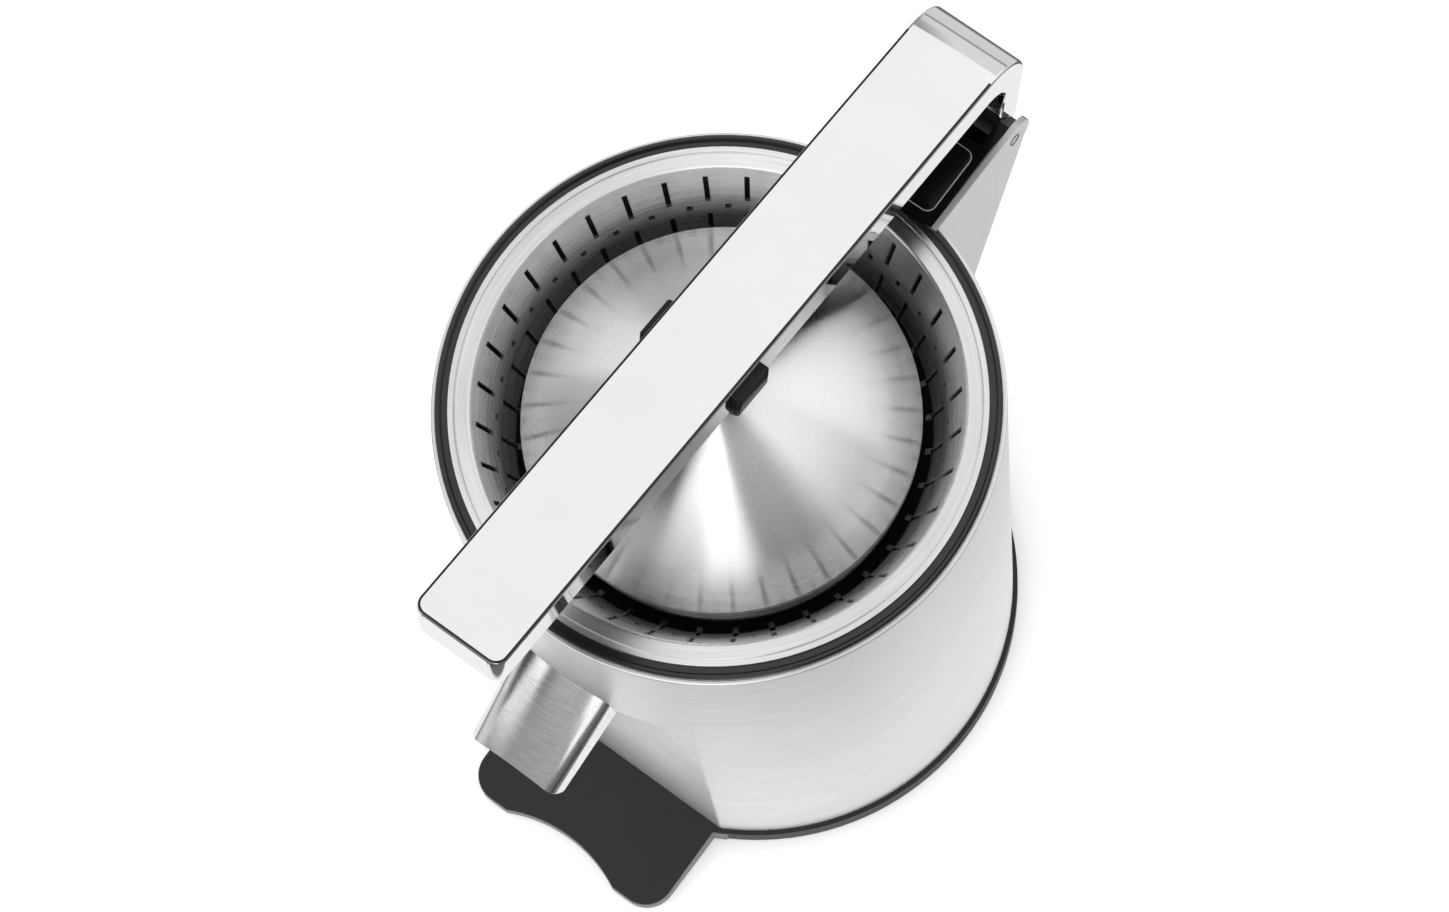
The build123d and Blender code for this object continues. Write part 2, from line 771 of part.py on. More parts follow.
# Arm liner: black strip that closes the arm's underside and the leg's front
liner_half_width = arm_half_width - arm_wall - seat_gap
liner_front_u = -arm_front_u + arm_wall + seat_gap
liner_low_v = knuckle_radius + overrun + seat_gap
with BuildPart() as arm_liner:
    with BuildSketch(lever_plane) as liner_side:
        with BuildLine():
            Polyline(
                (liner_front_u, arm_under_v),
                (leg_front_u, arm_under_v),
                (leg_front_u, liner_low_v),
                (leg_front_u + liner_thickness, liner_low_v),
                (leg_front_u + liner_thickness, arm_under_v + liner_thickness),
                (liner_front_u, arm_under_v + liner_thickness),
                close=True,
            )
        make_face()
        bend = liner_side.vertices().sort_by_distance((leg_front_u, arm_under_v, 0))[0]
        fillet(bend, arm_inner_corner)
    extrude(amount=liner_half_width, both=True)
finish(arm_liner, "arm_liner")

# Bushes in the lever's knuckle
with BuildPart() as hinge_bushes:
    for side in (-1, 1):
        with BuildSketch(lever_plane.offset(side * (arm_half_width - hinge_bush_length / 2))):
            Circle(knuckle_bore - seat_gap)
            Circle(hinge_pin_radius + bore_gap, mode=Mode.SUBTRACT)
        extrude(amount=hinge_bush_length / 2, both=True)
finish(hinge_bushes, "hinge_bushes")

# Dome carrier: saddle round the arm's lower half, with a fork below it
carrier_plate_top = arm_under_v - seat_gap
carrier_plate_bottom = carrier_plate_top - carrier_plate
ear_top_v = carrier_plate_top + carrier_ear_height
ear_inner = arm_half_width + seat_gap
ear_outer = ear_inner + carrier_ear_wall
fork_inner = hub_half_width + run_gap
fork_outer = fork_inner + carrier_fork_wall
carrier_u = pivot_u - carrier_forward
saddle_plane = Plane(
    lever_plane.from_local_coords((carrier_u, 0, 0)),
    x_dir=(1, 0, 0),
    z_dir=lever_plane.x_dir,
)
with BuildPart() as dome_carrier:
    with BuildSketch(saddle_plane):
        with BuildLine():
            Polyline(
                (-ear_outer, -ear_top_v),
                (-ear_outer, -carrier_plate_top),
                (-fork_outer, -carrier_plate_bottom),
                (fork_outer, -carrier_plate_bottom),
                (ear_outer, -carrier_plate_top),
                (ear_outer, -ear_top_v),
                (ear_inner, -ear_top_v),
                (ear_inner, -carrier_plate_top),
                (-ear_inner, -carrier_plate_top),
                (-ear_inner, -ear_top_v),
                close=True,
            )
        make_face()
    extrude(amount=carrier_half_length, both=True)
    for side in (-1, 1):
        with BuildSketch(lever_plane.offset(side * (fork_inner + fork_outer) / 2)):
            with Locations((pivot_u, (carrier_plate_bottom + pivot_v) / 2)):
                Rectangle(2 * hub_round, carrier_plate_bottom - pivot_v)
            with Locations((pivot_u, pivot_v)):
                Circle(hub_round)
        extrude(amount=carrier_fork_wall / 2, both=True)
    ear_faces = dome_carrier.faces().filter_by(Axis.X).sort_by(Axis.X)
    ear_edges = (ear_faces[0].edges() + ear_faces[-1].edges()).sort_by(SortBy.LENGTH)
    fillet(ear_edges[0:4], carrier_ear_corner)
    crosswise_cylinder(
        dome_pivot_radius + seat_gap,
        base_radius,
        lever_plane,
        (pivot_u, pivot_v),
        mode=Mode.SUBTRACT,
    )
finish(dome_carrier, "dome_carrier")

# Pivot pin of the dome
with BuildPart() as dome_pivot_pin:
    crosswise_cylinder(dome_pivot_radius, fork_outer, lever_plane, (pivot_u, pivot_v))
finish(dome_pivot_pin, "dome_pivot_pin")

# Press dome: turned shell with a crowned flank and a plain lip
dome_mid_radius = (dome_radius + dome_crown_radius) / 2
dome_mid_height = (dome_lip_top + dome_crown_height) / 2
dome_run = sqrt((dome_radius - dome_crown_radius) ** 2 + (dome_crown_height - dome_lip_top) ** 2)
bulge_out = dome_bulge * (dome_crown_height - dome_lip_top) / dome_run
bulge_up = dome_bulge * (dome_radius - dome_crown_radius) / dome_run
dome_under = dome_wall * dome_run / (dome_radius - dome_crown_radius)
with BuildPart() as press_dome:
    with BuildSketch(Plane.XZ):
        with BuildLine():
            Line((hub_stem_radius, dome_crown_height), (dome_crown_radius, dome_crown_height))
            ThreePointArc(
                (dome_crown_radius, dome_crown_height),
                (dome_mid_radius + bulge_out, dome_mid_height + bulge_up),
                (dome_radius, dome_lip_top),
            )
            Line((dome_radius, dome_lip_top), (dome_radius, dome_lip_bottom))
            Line((dome_radius, dome_lip_bottom), (dome_radius - dome_wall, dome_lip_bottom))
            Line(
                (dome_radius - dome_wall, dome_lip_bottom),
                (dome_radius - dome_wall, dome_lip_top - dome_under),
            )
            ThreePointArc(
                (dome_radius - dome_wall, dome_lip_top - dome_under),
                (dome_mid_radius + bulge_out - dome_wall, dome_mid_height + bulge_up - dome_wall),
                (dome_crown_radius, dome_crown_height - dome_under),
            )
            Line(
                (dome_crown_radius, dome_crown_height - dome_under),
                (hub_stem_radius, dome_crown_height - dome_under),
            )
            Line((hub_stem_radius, dome_crown_height - dome_under), (hub_stem_radius, dome_crown_height))
        make_face()
    revolve(axis=Axis.Z)
finish(press_dome, "press_dome")

# Dome hub: tongue on the pivot, flange on the crown and stem through it
hub_flange_top = dome_crown_height + hub_flange_height
nut_top = dome_crown_height - dome_under
with BuildPart() as dome_hub:
    cylinder_up(hub_flange_radius, dome_crown_height, hub_flange_top)
    cylinder_up(hub_stem_radius - seat_gap, nut_top - nut_height, dome_crown_height)
    with BuildSketch(Plane.YZ):
        with Locations((0, (hub_flange_top + dome_pivot_z) / 2)):
            Rectangle(2 * hub_round, dome_pivot_z - hub_flange_top)
        with Locations((0, dome_pivot_z)):
            Circle(hub_round)
    extrude(amount=hub_half_width, both=True)
    crosswise_cylinder(
        dome_pivot_radius + bore_gap,
        base_radius,
        Plane.YZ,
        (0, dome_pivot_z),
        mode=Mode.SUBTRACT,
    )
finish(dome_hub, "dome_hub")

# Nut under the dome's crown
with BuildPart() as dome_nut:
    with BuildSketch(Plane.XY.offset(nut_top - nut_height)):
        RegularPolygon(nut_radius, 6)
        Circle(hub_stem_radius, mode=Mode.SUBTRACT)
    extrude(amount=nut_height)
finish(dome_nut, "dome_nut")

# Strainer: flange, sloping slotted wall, floor and centre collar
slope_run = tan(radians(strainer_slope_degrees))
floor_top = strainer_floor_height + strainer_wall
wall_skin = strainer_wall / cos(radians(strainer_slope_degrees))
collar_outer = strainer_collar_radius + strainer_wall
corner_height = strainer_floor_height + strainer_floor_corner
groove_radius = flange_inner_radius + flange_groove_share * flange_width


def wall_radius(height):
    """Inner radius of the strainer's wall at a height."""
    return flange_inner_radius - slope_run * (strainer_top - height)


with BuildPart() as strainer:
    turned(
        (
            (strainer_collar_radius, strainer_floor_height),
            (wall_radius(strainer_floor_height) + wall_skin - strainer_floor_corner, strainer_floor_height),
            (wall_radius(corner_height) + wall_skin, corner_height),
            (wall_radius(strainer_flange_bottom) + wall_skin, strainer_flange_bottom),
            (flange_radius, strainer_flange_bottom),
            (flange_radius, strainer_top),
            (groove_radius + flange_groove_width / 2, strainer_top),
            (groove_radius, strainer_top - flange_groove_depth),
            (groove_radius - flange_groove_width / 2, strainer_top),
            (flange_inner_radius, strainer_top),
            (wall_radius(floor_top + strainer_floor_corner), floor_top + strainer_floor_corner),
            (wall_radius(floor_top) - strainer_floor_corner, floor_top),
            (collar_outer, floor_top),
            (collar_outer, strainer_floor_height + strainer_collar_height),
            (strainer_collar_radius, strainer_floor_height + strainer_collar_height),
        )
    )
    fillet(strainer.edges().group_by(Axis.Z)[-1].sort_by(SortBy.LENGTH)[0], flange_edge)
    for height in (upper_slot_height, lower_slot_height):
        with Locations((0, 0, height)):
            with PolarLocations(wall_radius(height), slot_count):
                Box(slot_length, slot_width, slot_length, mode=Mode.SUBTRACT)
    with Locations((0, 0, pin_hole_height)):
        with PolarLocations(wall_radius(pin_hole_height), slot_count, start_angle=180 / slot_count):
            Box(slot_length, 2 * pin_hole_radius, 2 * pin_hole_radius, mode=Mode.SUBTRACT)
finish(strainer, "strainer")

# Reamer: hollow ribbed cone with a six-sided socket for the shaft
skirt_top = reamer_bottom + reamer_skirt
socket_radius = shaft_hex_flat_radius + run_gap
reamer_cavity_radius = collar_outer + run_gap
rib_mid_radius = reamer_radius / 2
rib_mid_height = (reamer_top + skirt_top) / 2
with BuildPart() as reamer:
    turned(
        (
            (0, reamer_bottom),
            (reamer_radius, reamer_bottom),
            (reamer_radius, skirt_top),
            (reamer_core_radius, skirt_top + reamer_skirt),
            (rib_width, reamer_top),
            (0, reamer_top),
        )
    )
    with BuildSketch(Plane.XZ):
        with BuildLine():
            ThreePointArc(
                (reamer_radius - reamer_skirt, skirt_top),
                (rib_mid_radius + rib_bulge, rib_mid_height + rib_bulge),
                (0, reamer_top),
            )
            Line((0, reamer_top), (0, skirt_top))
            Line((0, skirt_top), (reamer_radius - reamer_skirt, skirt_top))
        make_face()
    rib = extrude(amount=rib_width / 2, both=True, mode=Mode.PRIVATE)
    with PolarLocations(0, rib_count):
        add(rib)
    turned(
        (
            (0, reamer_bottom - overrun),
            (reamer_cavity_radius, reamer_bottom - overrun),
            (reamer_cavity_radius, strainer_floor_height + strainer_collar_height + press_stroke + run_gap),
            (socket_radius, shaft_hex_bottom + reamer_wall + press_stroke),
            (0, shaft_hex_bottom + reamer_wall + press_stroke),
        ),
        mode=Mode.SUBTRACT,
    )
    with BuildSketch(Plane.XY.offset(reamer_bottom)):
        RegularPolygon(socket_radius, 6, major_radius=False)
    extrude(amount=shaft_top + run_gap - reamer_bottom, mode=Mode.SUBTRACT)
finish(reamer, "reamer")

# Drive shaft: round below, six-sided above the bowl
with BuildPart() as drive_shaft:
    cylinder_up(shaft_radius, shaft_bottom, shaft_hex_bottom)
    with BuildSketch(Plane.XY.offset(shaft_hex_bottom)):
        RegularPolygon(shaft_hex_flat_radius, 6, major_radius=False)
    extrude(amount=shaft_top - shaft_hex_bottom)
finish(drive_shaft, "drive_shaft")

# Seal in the chimney
with BuildPart() as shaft_seal:
    sleeve(
        chimney_radius - seat_gap,
        shaft_radius + bore_gap,
        chimney_top - seal_drop - seal_height,
        chimney_top - seal_drop,
    )
finish(shaft_seal, "shaft_seal")

def gear_room(margin):
    """Outline round the three gears in the sketch in hand, with a margin past their tips."""
    reach = margin + addendum_share * coarse_module
    Circle(coarse_module * output_gear_teeth / 2 + reach)
    with Locations((idler_x, idler_y)):
        Circle(fine_module * idler_wheel_teeth / 2 + reach)
    with Locations((motor_x, motor_y)):
        Circle(fine_module * motor_pinion_teeth / 2 + reach)


def lug_circles(radius):
    """Circles in the sketch in hand, one at each screw of the gear cover."""
    reach = cover_margin + cover_wall + addendum_share * coarse_module + cover_lug_out
    for angle in cover_lug_degrees:
        with PolarLocations(coarse_module * output_gear_teeth / 2 + reach, 1, start_angle=angle):
            Circle(radius)
    with Locations((idler_x, idler_y)):
        with PolarLocations(fine_module * idler_wheel_teeth / 2 + reach, 1, start_angle=idler_lug_degrees):
            Circle(radius)


def motor_screw_circles(radius):
    """Circles in the sketch in hand, one at each screw of the motor."""
    with Locations((motor_x, motor_y)):
        for angle in motor_screw_degrees:
            with PolarLocations(motor_screw_ring_radius, 1, start_angle=angle):
                Circle(radius)


# Gear plate on its posts, with a boss for the lower bush
lower_bush_bottom = gear_floor - lower_bush_length
bush_radius = shaft_radius + bore_gap + bush_wall
with BuildPart() as gear_plate:
    with BuildSketch(Plane.XY.offset(gear_plate_bottom)):
        flattened_disc(gear_plate_radius, gear_plate_flat)
    extrude(amount=gear_plate_thickness)
    cylinder_up(bush_radius + bush_wall, lower_bush_bottom, gear_plate_bottom)
    cylinder_up(bush_radius + seat_gap, 0, gear_floor + overrun, mode=Mode.SUBTRACT)
    cylinder_up(motor_nose_radius + seat_gap, 0, gear_floor + overrun, (motor_x, motor_y), mode=Mode.SUBTRACT)
    cylinder_up(axle_radius + seat_gap, 0, gear_floor + overrun, (idler_x, idler_y), mode=Mode.SUBTRACT)
    with BuildSketch(Plane.XY.offset(gear_plate_bottom)):
        lug_circles(screw_radius + seat_gap)
        motor_screw_circles(screw_radius + seat_gap)
    extrude(amount=gear_plate_thickness, mode=Mode.SUBTRACT)
finish(gear_plate, "gear_plate")

# Posts between the base and the gear plate
with BuildPart() as plate_posts:
    with BuildSketch(Plane.XY.offset(tray_floor_top)):
        post_circles(post_radius)
    extrude(amount=gear_plate_bottom - tray_floor_top)
    with BuildSketch(Plane.XY.offset(tray_floor_top)):
        post_circles(screw_radius + seat_gap)
    extrude(amount=screw_length + seat_gap, mode=Mode.SUBTRACT)
finish(plate_posts, "plate_posts")

# Plain bushes of the drive shaft
cover_top = gear_floor + cover_height
with BuildPart() as lower_bush:
    sleeve(bush_radius, shaft_radius + bore_gap, lower_bush_bottom, gear_floor)
finish(lower_bush, "lower_bush")

with BuildPart() as upper_bush:
    sleeve(
        bush_radius,
        shaft_radius + bore_gap,
        cover_top + cover_boss_height - upper_bush_length,
        cover_top + cover_boss_height,
    )
finish(upper_bush, "upper_bush")


# Gear cover: closed hood over the gears, with a boss for the upper bush
with BuildPart() as gear_cover:
    with BuildSketch(Plane.XY.offset(gear_floor)):
        gear_room(cover_margin + cover_wall)
    extrude(amount=cover_height)
    with BuildSketch(Plane.XY.offset(gear_floor)):
        lug_circles(cover_lug_radius)
    extrude(amount=cover_wall)
    cylinder_up(cover_boss_radius, cover_top, cover_top + cover_boss_height)
    with BuildSketch(Plane.XY.offset(gear_floor)):
        gear_room(cover_margin)
    extrude(amount=cover_height - cover_wall, mode=Mode.SUBTRACT)
    with BuildSketch(Plane.XY.offset(gear_floor)):
        lug_circles(screw_radius + seat_gap)
    extrude(amount=cover_wall, mode=Mode.SUBTRACT)
    cylinder_up(
        bush_radius + seat_gap,
        gear_floor,
        cover_top + cover_boss_height + overrun,
        mode=Mode.SUBTRACT,
    )
    cylinder_up(
        axle_radius + seat_gap,
        gear_floor,
        cover_top + overrun,
        (idler_x, idler_y),
        mode=Mode.SUBTRACT,
    )
finish(gear_cover, "gear_cover")

# Output gear on the shaft, one tooth towards the idler
output_gear_top = output_gear_bottom + output_gear_height
with BuildPart() as output_gear:
    with BuildSketch(Plane.XY.offset(output_gear_bottom)):
        gear_outline(output_gear_teeth, coarse_module, idler_degrees)
    extrude(amount=output_gear_height)
    cylinder_up(gear_hub_radius, output_gear_bottom, output_gear_top + gear_float)
    cylinder_up(shaft_radius + seat_gap, 0, output_gear_top + overrun, mode=Mode.SUBTRACT)
finish(output_gear, "output_gear")

# Idler: wide wheel below, pinion above, turning on a fixed axle
pinion_turn = idler_degrees + 180 + 180 / idler_pinion_teeth
with BuildPart() as idler_gear:
    with BuildSketch(Plane.XY.offset(wheel_bottom)) as wheel_sketch:
        gear_outline(idler_wheel_teeth, fine_module, motor_degrees)
    with BuildSketch(Plane.XY.offset(pinion_bottom)) as pinion_sketch:
        gear_outline(idler_pinion_teeth, coarse_module, pinion_turn)
    extrude(wheel_sketch.sketch, amount=wheel_height)
    extrude(pinion_sketch.sketch, amount=pinion_height)
    cylinder_up(axle_radius + bore_gap, 0, cover_top, mode=Mode.SUBTRACT)
idler_gear.part = idler_gear.part.moved(Location((idler_x, idler_y, 0)))
finish(idler_gear, "idler_gear")

with BuildPart() as idler_axle:
    cylinder_up(axle_radius, gear_plate_bottom, cover_top, (idler_x, idler_y))
finish(idler_axle, "idler_axle")

# Motor pinion with its shaft
motor_turn = motor_degrees + 180 + 180 / motor_pinion_teeth
motor_nose_top = gear_plate_bottom + motor_nose_height
with BuildPart() as motor_pinion:
    with BuildSketch(Plane.XY.offset(wheel_bottom)) as motor_sketch:
        gear_outline(motor_pinion_teeth, fine_module, motor_turn)
    extrude(motor_sketch.sketch, amount=wheel_height)
    cylinder_up(motor_shaft_radius, gear_plate_bottom - motor_length / 2, wheel_bottom)
motor_pinion.part = motor_pinion.part.moved(Location((motor_x, motor_y, 0)))
finish(motor_pinion, "motor_pinion")

# Motor hung under the gear plate
with BuildPart() as motor_can:
    cylinder_up(motor_radius, gear_plate_bottom - motor_length, gear_plate_bottom, (motor_x, motor_y))
    fillet(motor_can.edges().group_by(Axis.Z)[0], motor_edge)
    cylinder_up(motor_nose_radius, gear_plate_bottom, motor_nose_top, (motor_x, motor_y))
    cylinder_up(
        motor_shaft_radius + bore_gap,
        gear_plate_bottom - motor_length / 2 - run_gap,
        motor_nose_top + overrun,
        (motor_x, motor_y),
        mode=Mode.SUBTRACT,
    )
    with BuildSketch(Plane.XY.offset(gear_plate_bottom - screw_length - seat_gap)):
        motor_screw_circles(screw_radius + seat_gap)
    extrude(amount=screw_length + seat_gap, mode=Mode.SUBTRACT)
finish(motor_can, "motor_can")

# Screws that hold the motor to the plate
with BuildPart() as motor_screws:
    with BuildSketch(Plane.XY.offset(gear_plate_bottom - screw_length)):
        motor_screw_circles(screw_radius)
    extrude(amount=screw_length + gear_plate_thickness)
    with BuildSketch(Plane.XY.offset(gear_floor)):
        motor_screw_circles(screw_head_radius)
    extrude(amount=screw_head_height)
finish(motor_screws, "motor_screws")

# Screws that hold the cover's lugs to the plate
with BuildPart() as cover_screws:
    with BuildSketch(Plane.XY.offset(gear_plate_bottom)):
        lug_circles(screw_radius)
    extrude(amount=gear_plate_thickness + cover_wall)
    with BuildSketch(Plane.XY.offset(gear_floor + cover_wall)):
        lug_circles(screw_head_radius)
    extrude(amount=screw_head_height)
finish(cover_screws, "cover_screws")

# Thrust plate under the shaft, with the spigot that reaches the switch
with BuildPart() as thrust_plate:
    cylinder_up(thrust_radius, thrust_bottom, thrust_top)
    cylinder_up(thrust_spigot_radius, spigot_bottom, thrust_bottom)
finish(thrust_plate, "thrust_plate")

# Spring seat: disc hung from the gear plate on two legs
seat_leg_x = seat_radius + seat_leg_thickness / 2
with BuildPart() as spring_seat:
    cylinder_up(seat_radius, seat_bottom, seat_top)
    with BuildSketch(Plane.XY.offset(seat_bottom)):
        Rectangle(2 * seat_leg_x, seat_leg_width)
    extrude(amount=seat_thickness)
    with BuildSketch(Plane.XY.offset(seat_bottom)):
        with Locations((-seat_leg_x, 0), (seat_leg_x, 0)):
            Rectangle(seat_leg_thickness, seat_leg_width)
    extrude(amount=gear_plate_bottom - seat_bottom)
    cylinder_up(thrust_spigot_radius + bore_gap, 0, seat_top + overrun, mode=Mode.SUBTRACT)
finish(spring_seat, "spring_seat")

# Return spring between the seat and the thrust plate
spring_rise = spring_height - 2 * spring_wire_radius - 2 * seat_gap
spring_start = seat_top + spring_wire_radius + seat_gap
with BuildPart() as return_spring:
    with BuildLine():
        Helix(spring_rise / spring_turns, spring_rise, spring_mean_radius, center=(0, 0, spring_start))
    with BuildSketch(Plane(origin=(spring_mean_radius, 0, spring_start), z_dir=(0, 1, 0))):
        Circle(spring_wire_radius)
    sweep(is_frenet=True)
finish(return_spring, "return_spring")

# Switch under the spigot and its button
with BuildPart() as start_switch:
    with BuildSketch(Plane.XY.offset(switch_top - switch_height)):
        Rectangle(switch_length, switch_width)
    extrude(amount=switch_height)
    cylinder_up(
        button_radius + bore_gap,
        switch_top - button_height,
        switch_top + overrun,
        mode=Mode.SUBTRACT,
    )
    with BuildSketch(Plane.XY.offset(switch_top - switch_height)):
        with Locations((0, seat_leg_width)):
            Rectangle(seat_leg_width, seat_leg_width)
    extrude(amount=seat_bottom - switch_top + switch_height)
finish(start_switch, "start_switch")

with BuildPart() as switch_button:
    cylinder_up(button_radius, switch_top - button_height + press_stroke + run_gap, button_top)
finish(switch_button, "switch_button")

# Inlet gland of the mains lead, low on the back
with BuildPart() as cable_gland:
    with BuildSketch(Plane.XZ.offset(-casing_radius - gland_flange_thickness)):
        with Locations((0, gland_z)):
            Circle(gland_flange_radius)
    extrude(amount=gland_flange_thickness)
    with BuildSketch(Plane.XZ.offset(-casing_radius - gland_flange_thickness)):
        with Locations((0, gland_z)):
            Circle(gland_radius)
    extrude(amount=gland_length)
    with BuildSketch(Plane.XZ.offset(-casing_radius - gland_flange_thickness)):
        with Locations((0, gland_z)):
            Circle(gland_bore_radius)
    extrude(amount=gland_length, mode=Mode.SUBTRACT)
finish(cable_gland, "cable_gland")
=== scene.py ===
"""Looks of the citrus press: finishes, small pieces, studio and camera round the CAD part."""

import math

import bmesh
import bpy
from mathutils import Matrix, Vector


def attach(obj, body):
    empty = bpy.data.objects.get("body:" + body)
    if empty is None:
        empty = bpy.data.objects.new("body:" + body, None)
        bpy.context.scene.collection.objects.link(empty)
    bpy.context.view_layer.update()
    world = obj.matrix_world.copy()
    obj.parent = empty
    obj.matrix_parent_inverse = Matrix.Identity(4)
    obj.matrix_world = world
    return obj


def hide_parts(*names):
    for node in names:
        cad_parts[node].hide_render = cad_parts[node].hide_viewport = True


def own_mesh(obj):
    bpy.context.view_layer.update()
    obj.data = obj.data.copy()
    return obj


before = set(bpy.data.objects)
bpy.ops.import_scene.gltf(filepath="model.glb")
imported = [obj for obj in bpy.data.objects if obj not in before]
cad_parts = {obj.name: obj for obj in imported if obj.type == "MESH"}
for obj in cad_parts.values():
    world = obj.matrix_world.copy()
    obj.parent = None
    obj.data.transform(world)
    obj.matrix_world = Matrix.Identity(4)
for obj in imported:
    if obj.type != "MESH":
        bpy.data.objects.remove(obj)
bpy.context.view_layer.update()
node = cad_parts

MM = 0.001


# Node helpers

def grey(level):
    return (level, level, level)


def tone(level):
    return (level, level, level, 1.0)


def add(tree, kind, links=None, values=None, **settings):
    """A node of this kind, with its settings, socket values and incoming links."""
    made = tree.nodes.new(kind)
    for key, value in settings.items():
        setattr(made, key, value)
    for key, value in (values or {}).items():
        made.inputs[key].default_value = value
    for key, source in (links or {}).items():
        tree.links.new(source, made.inputs[key])
    return made


def math_node(tree, operation, first, second):
    """One Math node; each argument is a socket or a number."""
    made = add(tree, "ShaderNodeMath", operation=operation)
    for index, value in enumerate((first, second)):
        if isinstance(value, (int, float)):
            made.inputs[index].default_value = value
        else:
            tree.links.new(value, made.inputs[index])
    return made.outputs["Value"]


def split(tree, vector):
    """The three parts of a vector."""
    return add(tree, "ShaderNodeSeparateXYZ", {"Vector": vector}).outputs


def length_of(tree, vector):
    return add(tree, "ShaderNodeVectorMath", {0: vector}, operation="LENGTH").outputs["Value"]


def colour_between(tree, share, first, second):
    """A colour that runs from the first to the second with a share; each is a socket or a tone."""
    made = add(tree, "ShaderNodeMix", {"Factor": share}, data_type="RGBA")
    sides = [socket for socket in made.inputs if socket.type == "RGBA"]
    for socket, source in zip(sides, (first, second)):
        if isinstance(source, tuple):
            socket.default_value = source
        else:
            tree.links.new(source, socket)
    return next(socket for socket in made.outputs if socket.type == "RGBA")


def level_ramp(tree, value, marks):
    """Grey levels along a value: pairs of a position from 0 to 1 and a level."""
    ramp = add(tree, "ShaderNodeValToRGB", {"Fac": value})
    stops = ramp.color_ramp.elements
    stops[0].color = tone(marks[0][1])
    stops[1].color = tone(marks[-1][1])
    for position, level in marks[1:-1]:
        stops.new(position).color = tone(level)
    return ramp.outputs["Color"]


# Effects that several finishes share

GRAIN_DETAIL = 3.0


def new_group(name, inputs):
    """An empty shader group from a place and other inputs to a mask."""
    tree = bpy.data.node_groups.new(name, "ShaderNodeTree")
    tree.interface.new_socket("Vector", in_out="INPUT", socket_type="NodeSocketVector")
    for label, kind, default in inputs:
        socket = tree.interface.new_socket(label, in_out="INPUT", socket_type=kind)
        socket.default_value = default
    tree.interface.new_socket("Mask", in_out="OUTPUT", socket_type="NodeSocketFloat")
    start = tree.nodes.new("NodeGroupInput").outputs
    end = tree.nodes.new("NodeGroupOutput").inputs
    return tree, start, end


def make_ring_grain():
    """Fine turning marks in rings round the Z axis."""
    tree, start, end = new_group(
        "ring_grain",
        [("Fineness", "NodeSocketFloat", 2500.0), ("Sweep", "NodeSocketFloat", 18.0)],
    )
    parts = split(tree, start["Vector"])
    flat = add(tree, "ShaderNodeCombineXYZ", {"X": parts["X"], "Y": parts["Y"]})
    along = math_node(tree, "ADD", length_of(tree, flat.outputs["Vector"]), parts["Z"])
    rings = add(tree, "ShaderNodeCombineXYZ", {
        "X": math_node(tree, "MULTIPLY", along, start["Fineness"]),
        "Y": math_node(tree, "MULTIPLY", parts["X"], start["Sweep"]),
        "Z": math_node(tree, "MULTIPLY", parts["Y"], start["Sweep"]),
    })
    noise = add(
        tree, "ShaderNodeTexNoise", {"Vector": rings.outputs["Vector"]},
        {"Scale": 1.0, "Detail": GRAIN_DETAIL},
    )
    tree.links.new(noise.outputs["Fac"], end["Mask"])
    return tree


def make_line_grain():
    """Straight brushing marks: noise drawn out by a different scale on each axis."""
    tree, start, end = new_group(
        "line_grain", [("Stretch", "NodeSocketVector", (18.0, 18.0, 2500.0))],
    )
    drawn = add(
        tree, "ShaderNodeVectorMath", {0: start["Vector"], 1: start["Stretch"]},
        operation="MULTIPLY",
    )
    noise = add(
        tree, "ShaderNodeTexNoise", {"Vector": drawn.outputs["Vector"]},
        {"Scale": 1.0, "Detail": GRAIN_DETAIL},
    )
    tree.links.new(noise.outputs["Fac"], end["Mask"])
    return tree


def make_handling():
    """Faint cloudy marks of handling and cleaning."""
    tree, start, end = new_group("handling", [("Scale", "NodeSocketFloat", 30.0)])
    noise = add(
        tree, "ShaderNodeTexNoise", {"Vector": start["Vector"], "Scale": start["Scale"]},
        {"Detail": 4.0, "Roughness": 0.6, "Distortion": 0.4},
    )
    tree.links.new(noise.outputs["Fac"], end["Mask"])
    return tree


def make_moulded_grain():
    """Fine pebbled grain of a moulded part."""
    tree, start, end = new_group("moulded_grain", [("Scale", "NodeSocketFloat", 2200.0)])
    cells = add(
        tree, "ShaderNodeTexVoronoi", {"Vector": start["Vector"], "Scale": start["Scale"]},
        {"Randomness": 1.0}, feature="SMOOTH_F1",
    )
    tree.links.new(cells.outputs["Distance"], end["Mask"])
    return tree


ring_grain = make_ring_grain()
line_grain = make_line_grain()
handling = make_handling()
moulded_grain = make_moulded_grain()


# Finishes

MASK_LOW, MASK_HIGH = 0.25, 0.75
GRAIN_SHARE = 0.75
STEEL_CLOUDS = 24.0
POLISHED_CLOUDS = 45.0
MOULDED_CLOUDS = 20.0
WIPED = 0.97


def new_material(name, **values):
    """A material with the plain sockets of its Principled BSDF set, and its Object coordinates."""
    made = bpy.data.materials.new(name)
    made.use_nodes = True
    tree = made.node_tree
    shader = tree.nodes["Principled BSDF"]
    for label, value in values.items():
        shader.inputs[label.replace("_", " ")].default_value = value
    place = tree.nodes.new("ShaderNodeTexCoord").outputs["Object"]
    return made, tree, shader, place


def mask_of(tree, group, place, **values):
    """The mask of a shared effect at a place."""
    return add(tree, "ShaderNodeGroup", {"Vector": place}, values, node_tree=group).outputs["Mask"]


def shade_by(tree, shader, mask, dark, light):
    """Run the base colour from dark to light with the mask."""
    ramp = add(tree, "ShaderNodeValToRGB", {"Fac": mask})
    stops = ramp.color_ramp.elements
    for stop, position, colour in zip(stops, (MASK_LOW, MASK_HIGH), (dark, light)):
        stop.position = position
        stop.color = (*colour, 1.0)
    tree.links.new(ramp.outputs["Color"], shader.inputs["Base Color"])


